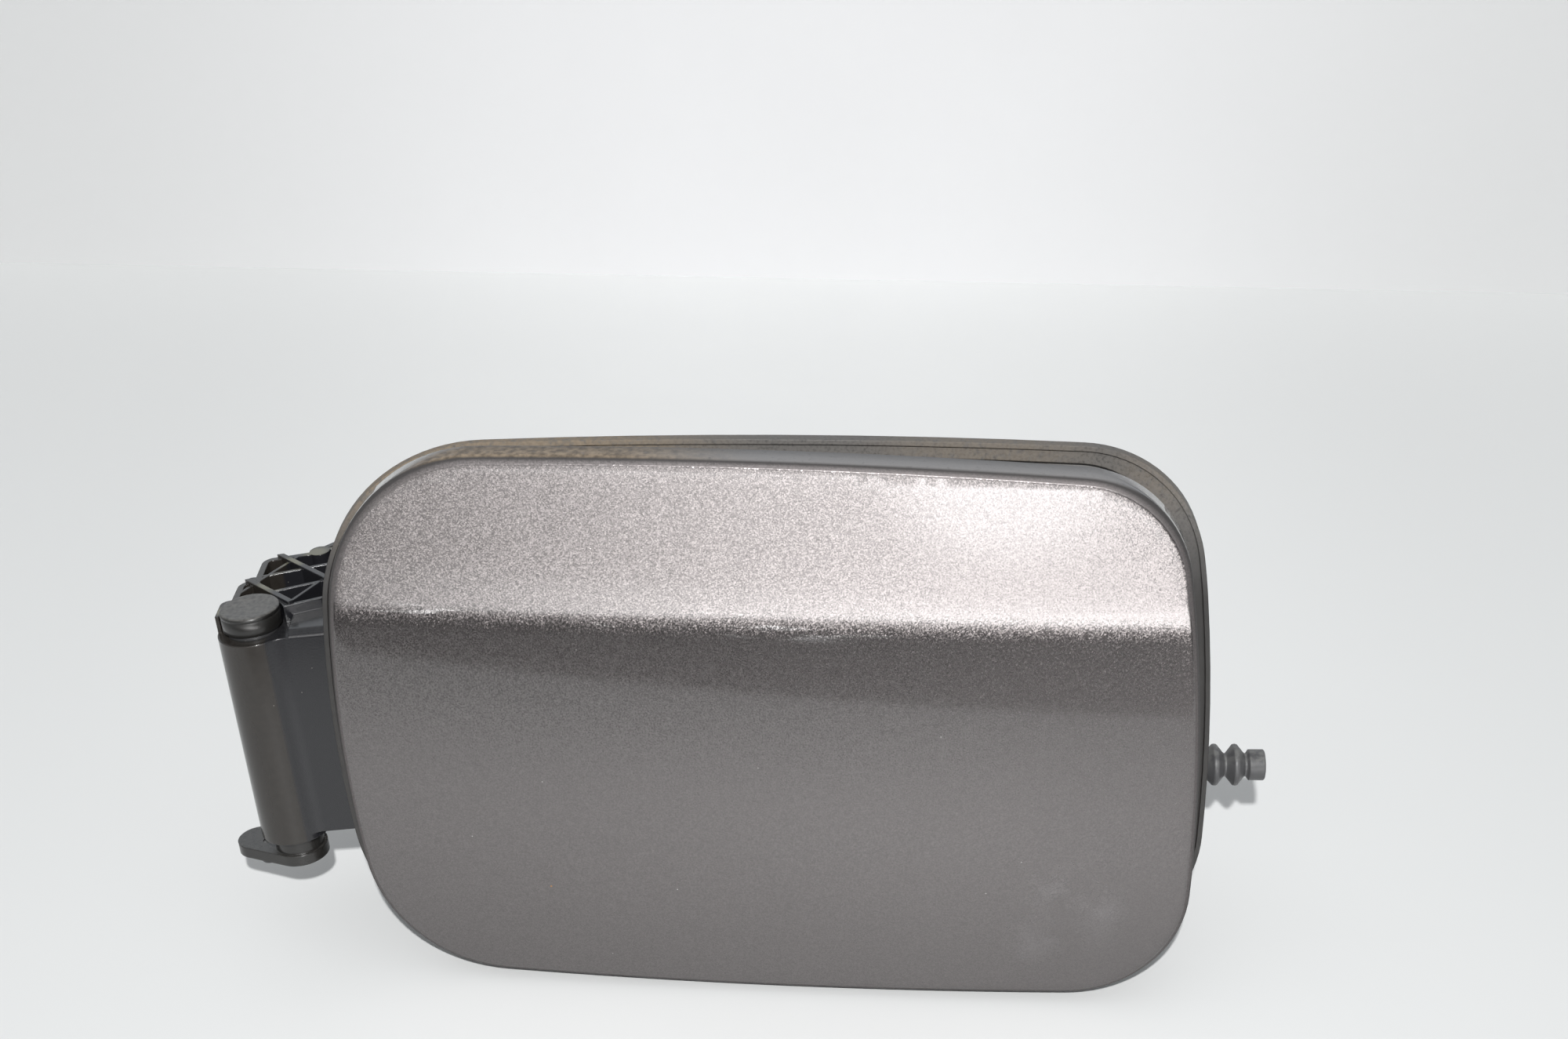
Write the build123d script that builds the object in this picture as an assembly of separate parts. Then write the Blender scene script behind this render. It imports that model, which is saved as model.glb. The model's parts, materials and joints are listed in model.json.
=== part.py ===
from build123d import *
import math
import os

os.makedirs("parts", exist_ok=True)

# Door outline seen square on, given by the points where its four sides would meet
DOOR_W = 195.0
DOOR_H = 135.0
DOOR_LEAN = 2.8
BOW_LEFT = 7.4
BOW_RIGHT = 4.8
BOW_TOP = 3.2
BOW_BOTTOM = 2.0
CORNER_TL = 37.0
CORNER_TR = 27.0
CORNER_BR = 30.0
CORNER_BL = 36.0

# Outer skin of the door
CREASE_Z = 32.4
CREASE_RISE = 1.15
CREASE_TILT = 12.0
CREASE_R = 36.0
CROWN_R = 2600.0
SKIN_T = 1.8
EDGE_R = 2.0
RETURN_DEPTH = 7.0

# Inner panel of the door
SKIN_FIT = 0.2
CARRIER_T = 2.0
FRAME_INSET = 11.0
FRAME_T = 1.6
FRAME_H = 6.0
RIB_T = 1.4
RIB_H = 4.0
RIB_X = (-62.0, -20.0, 22.0, 64.0)
RIB_Z = (-38.0, 26.0)

# Rim, pot and seal
RIM_Y = 12.0
RIM_INSET = 4.0
RIM_TOP = 6.5
RIM_ROOM = 0.6
POT_WALL = 2.0
POT_DRAFT = 8.0
POT_TOP_DRAFT = 14.0
POT_DEPTH = 60.0
FLOOR_T = 2.5
FLANGE_Y = 19.0
FLANGE_T = 2.0
FLANGE_SHY = 1.2
SEAL_SIDE = 4.2
SEAL_TOP = -1.9
SEAL_BOTTOM = 2.0
LIP_T = 1.2
LIP_ROOM = 1.5
LIP_STEP = 1.0
SEAL_FACE = 1.6
SEAL_BASE = 1.5
SEAL_FIT = 0.4

# Filler neck and drain
NECK_X = 4.0
NECK_Z = -4.0
NECK_R = 26.0
GASKET_GRIP = 3.0
GASKET_LIP = 4.0
GASKET_L = 11.0
DRAIN_X = 28.0
DRAIN_R = 4.5
DRAIN_BORE = 2.6
DRAIN_L = 14.0

# Hinge axis, with distances along it counted down from the top of the cap
AXIS_REACH = 23.6
AXIS_Y = 18.0
AXIS_Z = 23.4
AXIS_LEAN = 6.18
AJAR = 4.0
SWING = 80.0
PIN_R = 3.0
PIN_FIT = 0.05
PRESS_FIT = 0.02
BUSH_T = 1.5
BUSH_LIP = 1.75
BUSH_LIP_T = 1.0
END_GAP = 0.3
CAP_R = 7.4
CAP_H = 5.1
CAP_ROOM = 0.6
BARREL_R = 8.9
BARREL_L = 56.7
BEARING_T = 5.0
HINGE_WALL = 1.9

# Plan of the hinge housing, across and back from the axis
PLATE_V = 6.2
PLATE_RISE = 1.6
PLATE_BLEND = 6.0
LEDGE_U = 9.6
LEDGE_R = 2.0
PLATE_SHORT = 1.6
STEPS = (
    (0.0, 8.2), (2.5, 8.6), (2.6, 18.2), (6.3, 18.8),
    (6.3, 31.0), (17.9, 32.5), (23.4, 37.5), (33.0, 42.0),
)
STEP_R = (2.2, 0.0, 3.0, 0.0, 3.0, 1.8, 1.8)
SCALLOPS = ((5.6, 19.5, 1.3), (20.4, 33.0, 2.6), (27.6, 38.0, 2.8))
HOUSING_RIGHT = 42.0

# Ribbed top of the housing
RIB_TOP = 2.0
RIB_FLOOR = 9.0
RIB_FLOOR_T = 2.0
THICK_RIB = 1.4
THIN_RIB = 0.9
CROSS_WALL = 1.6
THICK_LIFT = 0.8
THICK_RIBS = (((-4.3, 38.3), (16.7, 15.0)), ((-11.3, 26.4), (9.5, 3.4)))
SLANT_RIBS = (((-7.0, 9.4), (14.0, 43.4)), ((7.4, 2.3), (31.0, 44.0)), ((19.0, 4.0), (40.0, 42.0)))
LEVEL_RIBS = (((-4.0, 20.3), (42.0, 31.3)), ((2.0, 11.2), (42.0, 23.4)), ((2.0, 31.0), (42.0, 41.0)))
CROSS_RIB = ((7.6, 2.4), (42.0, 13.6))

# Swan-neck arm
ARM_GAP = 0.7
ARM_T = 5.3
PLATE_REACH = 22.6
ARM_ROOM = 1.6
ARM_LOW_ROOM = 1.1
KNUCKLE_R = 6.2
KNUCKLE_L = 12.0
LEG_T = 5.0
LEG_SPARE = 0.5
ARM_FRONT = 18.0
WEB_T = 2.2
ARM_RIB = 4.0
WINDOW_SPARE = 12.0
WINDOW_ROOM = 1.5
FOOT_LAP = 2.0

# Crank under the barrel
HUB_R = 6.2
HUB_H = 3.35
LEVER_T = 2.9
LEVER_HUB_R = 6.9
LEVER_END_R = 5.3
LEVER_U = -12.0
LEVER_V = 3.5
PEG_R = 2.5
PEG_H = 2.4
RETAINER_T = 1.0
RETAINER_W = 1.6
PIN_SPARE = 0.6

# Spring round the pin
WIRE_R = 0.6
COIL_FIT = 0.3
COIL_ROOM = 2.0
COIL_PITCH = 3.0
COIL_SIDES = 16
WIRE_SIDES = 8

# Lock gaiter and its guide
LOCK_Y = 27.0
LOCK_Z = -25.8
LOCK_R = 2.0
GUIDE_T = 1.5
GUIDE_STICK = 3.0
BOSS_T = 2.0
BOSS_L = 9.0
GAITER_PEAK = 5.35
GAITER_VALLEY = 2.9
GAITER_SLEEVE = 3.95
GAITER_WALL = 0.8
GAITER_PITCH = 5.2
GAITER_CREST = 1.0
GAITER_PEAKS = 2
GAITER_SLEEVE_L = 4.8

# Small pieces on the door and in the pot
EYE_GAP = 2.5
EYE_T = 3.0
EYE_R = 3.6
EYE_W = 13.0
EYE_FOOT_T = 2.0
EYE_FOOT_L = 10.0
EYE_FOOT_LAP = 2.0
EYE_SCREW_INSET = 5.5
EYE_SCREW_PITCH = 10.0
SCREW_R = 1.5
SCREW_HEAD = 3.0
SCREW_HEAD_T = 1.8
HOOK_X = -8.0
HOOK_Z = 2.0
HOOK_W = 22.0
HOOK_DEPTH = 16.0
HOOK_T = 2.0
HOOK_SHELF = 3.0
HOOK_LIP = 9.0
HOOK_FOOT_SIDE = 5.0
HOOK_FOOT_LOW = 8.0
HOOK_FOOT_HIGH = 4.0
HOOK_SCOOP = 7.3
BUFFER_R = 3.8
BUFFER_STEM = 1.8
BUFFER_L = 8.0
BUFFER_TOP = 45.5
BUFFER_LOW = 25.5
BUFFER_TAIL = 4.0
PAD_T = 2.4
PAD_W = 12.0
PAD_IN = 5.0
PAD_OUT = 9.0
CLIP_X = (-42.0, 8.0, 58.0)
CLIP_W = 8.0
CLIP_T = 0.7
FIX_X = (-38.0, 42.0)
FIX_W = 10.0
FIX_T = 0.8
FIX_RISE = 1.4
FIX_L = 10.0

# Values that follow from the sizes above
CARRIER_Y = SKIN_T + SKIN_FIT
CARRIER_BACK = CARRIER_Y + CARRIER_T
CARRIER_INSET = SKIN_T + SKIN_FIT
AXIS_X = -(DOOR_W / 2 + BOW_LEFT + AXIS_REACH)
BARREL_TOP = CAP_H + END_GAP + BUSH_LIP_T
BARREL_END = BARREL_TOP + BARREL_L
HUB_TOP = BARREL_END + BUSH_LIP_T + END_GAP
PLATE_TOP = BARREL_TOP - PLATE_RISE
PLATE_END = BARREL_END - PLATE_SHORT
ARM_TOP = BARREL_TOP + BEARING_T + ARM_ROOM
ARM_END = BARREL_END - BEARING_T - ARM_LOW_ROOM
COIL_TURNS = int((ARM_END - ARM_TOP - 2 * (KNUCKLE_L + COIL_ROOM)) / COIL_PITCH)
LEVER_TOP = HUB_TOP + HUB_H
LEVER_END = LEVER_TOP + LEVER_T
PIN_TOP = CAP_H / 3
PIN_END = LEVER_END + RETAINER_T + PIN_SPARE
BUSH_R = PIN_R + PIN_FIT + BUSH_T
COIL_R = PIN_R + COIL_FIT + WIRE_R
ARM_IN = PLATE_REACH + ARM_GAP
ARM_OUT = ARM_IN + ARM_T
LEG_ANGLE = SWING + LEG_SPARE
GUIDE_R = LOCK_R + GUIDE_T
BOSS_R = GUIDE_R + PRESS_FIT + BOSS_T
SPAN = 400.0
HINGE = Location((AXIS_X, AXIS_Y, AXIS_Z), (0, -AXIS_LEAN, 0))
OPENED = HINGE * Location((0, 0, 0), (0, 0, -AJAR)) * HINGE.inverse()
NECK_ORIGIN = Pos(-NECK_X, -(POT_DEPTH - FLOOR_T / 2), -NECK_Z)


def outline(side=0.0, top=None, bottom=None):
    """Door outline with bowed sides, grown by the given amounts."""
    top = side if top is None else top
    bottom = side if bottom is None else bottom
    half = DOOR_W / 2 + side
    high = DOOR_H / 2 + top
    low = DOOR_H / 2 + bottom
    shift = math.tan(math.radians(DOOR_LEAN))
    tl = Vector(-half - shift * high, high)
    tr = Vector(half - shift * high, high)
    br = Vector(half + shift * low, -low)
    bl = Vector(-half + shift * low, -low)
    left = ThreePointArc(bl, (bl + tl) / 2 - Vector(BOW_LEFT, 0), tl)
    upper = ThreePointArc(tl, (tl + tr) / 2 + Vector(0, BOW_TOP), tr)
    right = ThreePointArc(tr, (tr + br) / 2 + Vector(BOW_RIGHT, 0), br)
    lower = ThreePointArc(br, (br + bl) / 2 - Vector(0, BOW_BOTTOM), bl)
    face = make_face([left, upper, right, lower])
    radii = (CORNER_TL, CORNER_TR, CORNER_BR, CORNER_BL)
    for corner, radius in zip((tl, tr, br, bl), radii):
        face = fillet(face.vertices().sort_by_distance(corner)[0], radius + side)
    return face


def prism(face, front, back):
    """Solid of a square-on outline between two depths."""
    return extrude(Plane.XZ.offset(-front) * face, amount=front - back)


def taper(front_face, front, back_face, back):
    """Drafted solid between two square-on outlines."""
    near = Plane.XZ.offset(-front) * front_face
    far = Plane.XZ.offset(-back) * back_face
    return loft([near, far], ruled=True)


def layer(near, far):
    """Region between two depths behind the crowned and creased door surface."""
    rise = math.tan(math.radians(CREASE_TILT)) * DOOR_H
    points = [
        (near, -1.5 * DOOR_H),
        (near, 0),
        (near + rise, DOOR_H),
        (far + rise, DOOR_H),
        (far, 0),
        (far, -1.5 * DOOR_H),
    ]
    face = make_face(Polyline(*points, close=True))
    for depth in (near, far):
        face = fillet(face.vertices().sort_by_distance((depth, 0))[0], CREASE_R)
    half = math.degrees(0.75 * DOOR_W / CROWN_R)
    axis = Axis((0, CROWN_R, 0), (0, 0, 1))
    body = revolve((Plane.YZ * face).rotate(axis, -half), axis, 2 * half)
    return Location((0, 0, CREASE_Z), (0, -CREASE_RISE, 0)) * body


def bar(x, y, z):
    """Box from three ranges."""
    box = Box(x[1] - x[0], y[1] - y[0], z[1] - z[0], align=(Align.MIN, Align.MIN, Align.MIN))
    return Pos(x[0], y[0], z[0]) * box


def post(radius, top, end, u=0.0, v=0.0):
    """Round bar along the hinge axis."""
    base = (Align.CENTER, Align.CENTER, Align.MIN)
    return Pos(u, v, -end) * Cylinder(radius, end - top, align=base)


def column(face, top, end):
    """Solid of a plan outline along the hinge axis."""
    return Pos(0, 0, -end) * extrude(face, amount=end - top)


def rod_y(radius, front, back, x, z):
    """Round bar along the depth direction."""
    return Pos(x, (front + back) / 2, z) * Rot(90, 0, 0) * Cylinder(radius, back - front)


def rod_x(radius, left, right, y, z):
    """Round bar along the width direction."""
    return Pos((left + right) / 2, y, z) * Rot(0, 90, 0) * Cylinder(radius, right - left)


def side_x(inset, z):
    """Right side of the grown door outline at a height."""
    shift = math.tan(math.radians(DOOR_LEAN))
    share = 2 * z / DOOR_H
    return DOOR_W / 2 - shift * z + BOW_RIGHT * (1 - share * share) - inset


def edge_z(inset, x, sign):
    """Top or bottom of the grown door outline at a width."""
    share = 2 * x / DOOR_W
    bow = BOW_TOP if sign > 0 else BOW_BOTTOM
    return sign * (DOOR_H / 2 + bow * (1 - share * share) - inset)


def wall_inset(depth, sign=-1):
    """Inset of the pot's outer wall at a depth, at its top or elsewhere."""
    share = (depth - RIM_Y) / (POT_DEPTH - RIM_Y)
    if sign > 0:
        return RIM_TOP + POT_TOP_DRAFT * share
    return RIM_INSET + POT_DRAFT * share


def pot_outline(depth, wall=0.0):
    """Outline of the pot at a depth, drawn in by a wall."""
    side = wall_inset(depth) + wall
    return outline(-side, -wall_inset(depth, 1) - wall, -side)


def flange_outline(shy=0.0):
    """Outline of the lip seal, drawn in by the given amount."""
    return outline(SEAL_SIDE - shy, SEAL_TOP - shy, SEAL_BOTTOM - shy)


def make_skin():
    """Painted skin with a rounded rim and a returned edge."""
    edge = outline()
    shell = prism(edge, -DOOR_H, DOOR_H) & layer(0, RETURN_DEPTH)
    inner = prism(outline(-SKIN_T), -DOOR_H, DOOR_H) & layer(SKIN_T, RETURN_DEPTH + 1)
    wire = edge.wire()
    rounded = []
    for item in shell.edges():
        middle = item @ 0.5
        flat = Vector(middle.X, middle.Z)
        on_rim = wire.distance_to(flat) < 0.01
        tangent = item % 0.5
        if on_rim and abs(tangent.Y) < 0.5:
            rounded.append(item)
    depth_of = {item: surface_depth(item @ 0.5) for item in rounded}
    front = [item for item in rounded if depth_of[item] < RETURN_DEPTH / 2]
    return fillet(front, EDGE_R) - inner


def surface_depth(point):
    """Depth of a point behind the door's outer surface."""
    lift = point.Z - CREASE_Z - math.tan(math.radians(CREASE_RISE)) * point.X
    crown = CROWN_R - math.sqrt(CROWN_R * CROWN_R - point.X * point.X)
    return point.Y - crown - math.tan(math.radians(CREASE_TILT)) * max(lift, 0)


def arm_plan(inner, outer, first, last):
    """Part of a ring in plan, between two angles."""
    turn = last - first
    ring = Circle(outer) - Circle(inner)
    reach = 3 * outer
    points = [(0, 0)]
    for step in range(5):
        angle = math.radians(first + turn * step / 4)
        points.append((reach * math.cos(angle), reach * math.sin(angle)))
    return ring & make_face(Polyline(*points, close=True))


def make_arm():
    """Swan neck with two knuckles, in the hinge frame."""
    start = -ARM_FRONT
    web = column(arm_plan(ARM_OUT - WEB_T, ARM_OUT, start, LEG_ANGLE), ARM_TOP, ARM_END)
    arm = web
    rows = (ARM_TOP, (ARM_TOP + ARM_END - ARM_RIB) / 2, ARM_END - ARM_RIB)
    for row in rows:
        arm += column(arm_plan(ARM_IN, ARM_OUT, start, LEG_ANGLE), row, row + ARM_RIB)
    leg = Rot(0, 0, LEG_ANGLE) * Pos(ARM_OUT / 2, 0) * Rectangle(ARM_OUT, LEG_T)
    for row in (ARM_TOP, ARM_END - KNUCKLE_L):
        arm += column(leg & Circle(ARM_OUT), row, row + KNUCKLE_L)
        arm += post(KNUCKLE_R, row, row + KNUCKLE_L)
    arm -= post(PIN_R + PRESS_FIT, ARM_TOP - 1, ARM_END + 1)
    low = -ARM_IN * math.sin(math.radians(ARM_FRONT))
    left = ARM_IN * math.cos(math.radians(ARM_FRONT)) + FOOT_LAP
    foot = bar((left, ARM_OUT), (-3 * AXIS_Y, low + FOOT_LAP), (-ARM_END, -ARM_TOP))
    return arm + foot


def door_ribs():
    """Stiffening ribs behind the inner panel."""
    ribs = []
    for x in RIB_X:
        ribs.append(bar((x, x + RIB_T), (-SPAN / 4, SPAN / 4), (-SPAN / 4, SPAN / 4)))
    for z in RIB_Z:
        ribs.append(bar((-SPAN / 2, SPAN / 2), (-SPAN / 4, SPAN / 4), (z, z + RIB_T)))
    both = ribs[0]
    for rib in ribs[1:]:
        both += rib
    inside = prism(outline(-FRAME_INSET - FRAME_T / 2), -DOOR_H, DOOR_H)
    return both & inside & layer(CARRIER_Y + CARRIER_T / 2, CARRIER_BACK + RIB_H)


def make_carrier():
    """Inner panel, its frame and ribs, and the swan neck."""
    carrier = prism(outline(-CARRIER_INSET), -DOOR_H, DOOR_H) & layer(CARRIER_Y - 5, CARRIER_BACK)
    carrier += HINGE * make_arm()
    ring = prism(outline(-FRAME_INSET), -DOOR_H, DOOR_H)
    ring -= prism(outline(-FRAME_INSET - FRAME_T), -DOOR_H, DOOR_H)
    carrier += ring & layer(CARRIER_Y + CARRIER_T / 2, CARRIER_BACK + FRAME_H)
    carrier += door_ribs()
    for spot in eye_screw_spots():
        carrier -= rod_y(SCREW_R + PRESS_FIT, -SPAN / 8, SPAN / 8, *spot)
    return carrier & layer(CARRIER_Y, SPAN / 2)


def eye_left():
    """Left face of the tongue, clear of the door's frame."""
    return side_x(FRAME_INSET + FRAME_T, LOCK_Z) - EYE_T - EYE_GAP


def eye_screw_spots():
    """Centres of the two screws of the lock eye."""
    x = eye_left() - EYE_SCREW_INSET
    half = EYE_SCREW_PITCH / 2
    return ((x, LOCK_Z - half), (x, LOCK_Z + half))


def back_depth(x, z):
    """Depth of the inner panel's back face."""
    surface = Vector(x, 0, z)
    return CARRIER_BACK - surface_depth(surface)


def make_lock_eye():
    """Tongue with the eye that the lock pin goes through."""
    low = LOCK_Z - EYE_W / 2
    high = LOCK_Z + EYE_W / 2
    left = eye_left()
    right = left + EYE_T
    across = (left - EYE_FOOT_L, right + EYE_GAP / 2)
    foot = bar(across, (-SPAN / 8, SPAN / 8), (low - EYE_FOOT_LAP, high + EYE_FOOT_LAP))
    eye = foot & layer(CARRIER_BACK - 4, CARRIER_BACK + EYE_FOOT_T)
    eye += bar((left, right), (0, LOCK_Y), (low, high))
    eye += rod_x(EYE_W / 2, left, right, LOCK_Y, LOCK_Z)
    eye -= rod_x(EYE_R, left - 1, right + 1, LOCK_Y, LOCK_Z)
    for spot in eye_screw_spots():
        eye -= rod_y(SCREW_R + PRESS_FIT, -SPAN / 8, SPAN / 8, *spot)
    return eye & layer(CARRIER_BACK, SPAN / 2)


def make_eye_screws():
    """Two screws of the lock eye."""
    screws = []
    for x, z in eye_screw_spots():
        seat = back_depth(x, z) + EYE_FOOT_T + SKIN_FIT
        screw = rod_y(SCREW_R, seat - EYE_FOOT_T - 0.7 * CARRIER_T, seat + 0.5, x, z)
        screw += rod_y(SCREW_HEAD, seat, seat + SCREW_HEAD_T, x, z)
        slot = bar((x - 0.4, x + 0.4), (seat + 1, seat + 3), (z - 2, z + 2))
        screws.append(screw - slot)
    return Compound(screws)


def make_cap_hook():
    """Holder for the fuel cap, on a foot behind the inner panel."""
    x = (HOOK_X, HOOK_X + HOOK_W)
    across = (x[0] - HOOK_FOOT_SIDE, x[1] + HOOK_FOOT_SIDE)
    foot = bar(across, (-SPAN / 8, SPAN / 8), (HOOK_Z - HOOK_FOOT_LOW, HOOK_Z + HOOK_FOOT_HIGH))
    hook = foot & layer(CARRIER_BACK - 4, CARRIER_BACK + HOOK_T)
    tip = CARRIER_BACK + HOOK_DEPTH
    under = HOOK_Z - HOOK_SHELF
    arm = bar(x, (0, tip), (under, HOOK_Z))
    arm += bar(x, (tip - HOOK_SHELF, tip), (under, HOOK_Z + HOOK_LIP))
    arm -= rod_y(HOOK_SCOOP, 0, 2 * tip, HOOK_X + HOOK_W / 2, HOOK_Z + HOOK_LIP + HOOK_T)
    return (hook + arm) & layer(CARRIER_BACK, SPAN / 2)


def make_skin_clips():
    """Spring clips between the inner panel and the skin's returned edge."""
    outer = CARRIER_INSET - SKIN_FIT / 2
    leg = prism(outline(-outer), -DOOR_H, DOOR_H)
    leg -= prism(outline(-outer - CLIP_T), -DOOR_H, DOOR_H)
    pad = prism(outline(-outer), -DOOR_H, DOOR_H) - prism(outline(-FRAME_INSET + 1), -DOOR_H, DOOR_H)
    strip = leg & layer(CARRIER_BACK, CARRIER_BACK + 2.8)
    strip += pad & layer(CARRIER_BACK, CARRIER_BACK + CLIP_T)
    clips = []
    for x in CLIP_X:
        for z in ((0, DOOR_H), (-DOOR_H, 0)):
            clips.append(strip & bar((x, x + CLIP_W), (-SPAN / 4, SPAN / 4), z))
    return Compound([clip.solid() for clip in clips])


def housing_plan(right):
    """Stepped plan of the hinge housing with the round barrel."""
    left = -BARREL_R
    points = [(0, -PLATE_V), (right, -PLATE_V)]
    points.append((right, STEPS[-1][1]))
    corners = [(left + across, back) for across, back in STEPS]
    points += list(reversed(corners))
    points += [(left, 0), (0, 0)]
    face = make_face(Polyline(*points, close=True))
    for corner, radius in zip(corners, STEP_R):
        if radius > 0:
            face = fillet(face.vertices().sort_by_distance(corner)[0], radius)
    face += Circle(BARREL_R)
    meet = (math.sqrt(BARREL_R * BARREL_R - PLATE_V * PLATE_V), -PLATE_V)
    return fillet(face.vertices().sort_by_distance(meet)[0], PLATE_BLEND)


def rib_bar(first, last, thick, top):
    """Upright rib between two plan points."""
    across = last[0] - first[0]
    back = last[1] - first[1]
    middle = ((first[0] + last[0]) / 2, (first[1] + last[1]) / 2)
    length = math.hypot(across, back)
    turn = math.degrees(math.atan2(back, across))
    return column(Pos(*middle) * Rot(0, 0, turn) * Rectangle(length, thick), top, RIB_FLOOR + 1)


def ribbed_top(plan):
    """Open lattice of ribs on the roof of the hinge housing."""
    left = -BARREL_R
    wall = column(plan - offset(plan, -CROSS_WALL, kind=Kind.INTERSECTION), RIB_TOP, RIB_FLOOR + 1)
    wall &= bar((-SPAN, SPAN), (0, SPAN), (-SPAN, SPAN))
    ribs = column(arm_plan(CAP_R + CAP_ROOM, BARREL_R + 0.9, 20, 190), RIB_TOP, RIB_FLOOR + 1)
    for rib in THICK_RIBS:
        ribs += rib_bar(*rib, THICK_RIB, RIB_TOP - THICK_LIFT)
    for rib in SLANT_RIBS + LEVEL_RIBS:
        ribs += rib_bar(*rib, THIN_RIB, RIB_TOP)
    front = rib_bar(*CROSS_RIB, CROSS_WALL, RIB_TOP)
    back = 2 * STEPS[-1][1]
    edge = [(left, 0), *CROSS_RIB, (CROSS_RIB[1][0], back), (left, back)]
    ahead = make_face(Polyline(*edge, close=True))
    ribs = (ribs + front) & column(plan & ahead, 0, RIB_FLOOR + 1)
    roof = column(plan & ahead, RIB_FLOOR, RIB_FLOOR + RIB_FLOOR_T)
    return wall + ribs + roof


def ledge(plan):
    """Ledge with a rounded front edge between the plate and the ribbed top."""
    low = -RIB_FLOOR - RIB_FLOOR_T
    back = CROSS_RIB[1][1]
    corners = ((-PLATE_V, low), (-PLATE_V, -PLATE_TOP), (back, -PLATE_TOP), (back, low))
    section = make_face(Polyline(*corners, close=True))
    section = fillet(section.vertices().sort_by_distance((-PLATE_V, -PLATE_TOP))[0], LEDGE_R)
    shelf = extrude(Plane.YZ.offset(LEDGE_U) * section, amount=HOUSING_RIGHT - LEDGE_U)
    shelf += bar((0, LEDGE_U), (-2 * PLATE_V, CROSS_RIB[0][1]), (low, -BARREL_TOP))
    ahead = [(0, -2 * PLATE_V), (2 * HOUSING_RIGHT, -2 * PLATE_V), CROSS_RIB[1], CROSS_RIB[0], (0, 0)]
    return shelf & column(plan & make_face(Polyline(*ahead, close=True)), 0, RIB_FLOOR + RIB_FLOOR_T)


def make_housing():
    """Outside of the hinge housing, in the hinge frame."""
    plan = housing_plan(HOUSING_RIGHT)
    roof = RIB_FLOOR
    body = column(plan, roof, PLATE_END) + post(BARREL_R, BARREL_TOP, BARREL_END)
    body += ribbed_top(plan)
    for across, back, radius in SCALLOPS:
        body += post(radius, RIB_TOP, PLATE_END, across - BARREL_R, back)
    body += ledge(plan)
    return body - post(CAP_R + CAP_ROOM, -10, BARREL_TOP)


def housing_room():
    """Hollow inside the hinge housing, in the hinge frame."""
    plan = offset(housing_plan(HOUSING_RIGHT + HINGE_WALL), -HINGE_WALL, kind=Kind.INTERSECTION)
    top = RIB_FLOOR + RIB_FLOOR_T
    floor = PLATE_END - HINGE_WALL
    room = column(plan, top, floor) - post(BARREL_R, 0, BARREL_TOP + BEARING_T)
    room -= post(BARREL_R, BARREL_END - BEARING_T, BARREL_END)
    return room


def arm_window():
    """Space that the swan neck sweeps, in the hinge frame."""
    first = -SWING - ARM_FRONT - WINDOW_SPARE
    ring = arm_plan(PLATE_REACH, ARM_OUT + ARM_GAP, first, LEG_ANGLE + WINDOW_SPARE / 2)
    return column(ring, ARM_TOP - WINDOW_ROOM, ARM_END + WINDOW_ROOM)


def buffer_spots():
    """Centres of the two stop buffers on the frame of the closed door."""
    inset = FRAME_INSET + FRAME_T / 2
    heights = (DOOR_H / 2 - BUFFER_TOP, BUFFER_LOW - DOOR_H / 2)
    return [(side_x(inset, z), z) for z in heights]


def fix_pedestal(x, sign):
    """Pad for a fixing clip on the pot's top or bottom wall."""
    near = FLANGE_Y + FLANGE_T
    face = edge_z(wall_inset(near, sign) - 0.6, x, sign)
    root = edge_z(wall_inset(near + FIX_L, sign) + POT_WALL / 2, x, sign)
    heights = (min(face, root), max(face, root))
    return bar((x, x + FIX_W), (near, near + FIX_L), heights)


def make_pot():
    """Pot with rim, flange, hinge housing, lock boss and drain."""
    block = taper(pot_outline(RIM_Y), RIM_Y, pot_outline(POT_DEPTH), POT_DEPTH)
    pot = block + prism(flange_outline(FLANGE_SHY), FLANGE_Y, FLANGE_Y + FLANGE_T)
    pot += HINGE * make_housing()
    wall = side_x(wall_inset(LOCK_Y), LOCK_Z)
    pot += rod_x(BOSS_R, wall - POT_WALL, wall + BOSS_L, LOCK_Y, LOCK_Z)
    drain_z = edge_z(wall_inset(POT_DEPTH) + POT_WALL + DRAIN_R, DRAIN_X, -1)
    pot += rod_y(DRAIN_R, POT_DEPTH - FLOOR_T, POT_DEPTH + DRAIN_L, DRAIN_X, drain_z)
    for x in FIX_X:
        for sign in (1, -1):
            pot += fix_pedestal(x, sign)
    floor = POT_DEPTH - FLOOR_T
    mouth = pot_outline(RIM_Y, POT_WALL)
    room = taper(mouth, RIM_Y, pot_outline(POT_DEPTH, POT_WALL), floor)
    room += prism(mouth, RIM_Y - 1, RIM_Y)
    cut = room + HINGE * (housing_room() + arm_window())
    pot -= cut
    reach = CARRIER_BACK + CLIP_T + RIM_ROOM
    pot -= prism(outline(-CARRIER_INSET), -DOOR_H, DOOR_H) & layer(-SPAN / 8, reach)
    pad_y = CARRIER_BACK + FRAME_H + BUFFER_L
    for x, z in buffer_spots():
        pad = bar((x - PAD_IN, x + PAD_OUT), (pad_y, pad_y + PAD_T), (z - PAD_W / 2, z + PAD_W / 2))
        pot += pad & block
        pot -= rod_y(BUFFER_STEM + PRESS_FIT, 0, POT_DEPTH / 2 + 4, x, z)
    pot -= rod_x(GUIDE_R + PRESS_FIT, wall - POT_WALL - 3, wall + BOSS_L + 1, LOCK_Y, LOCK_Z)
    pot -= rod_y(NECK_R + GASKET_GRIP, floor - 5, POT_DEPTH + 5, NECK_X, NECK_Z)
    pot -= rod_y(DRAIN_BORE, floor - 5, POT_DEPTH + DRAIN_L + 1, DRAIN_X, drain_z)
    pot -= HINGE * post(BUSH_R + PRESS_FIT, 0, LEVER_END)
    return pot


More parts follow.
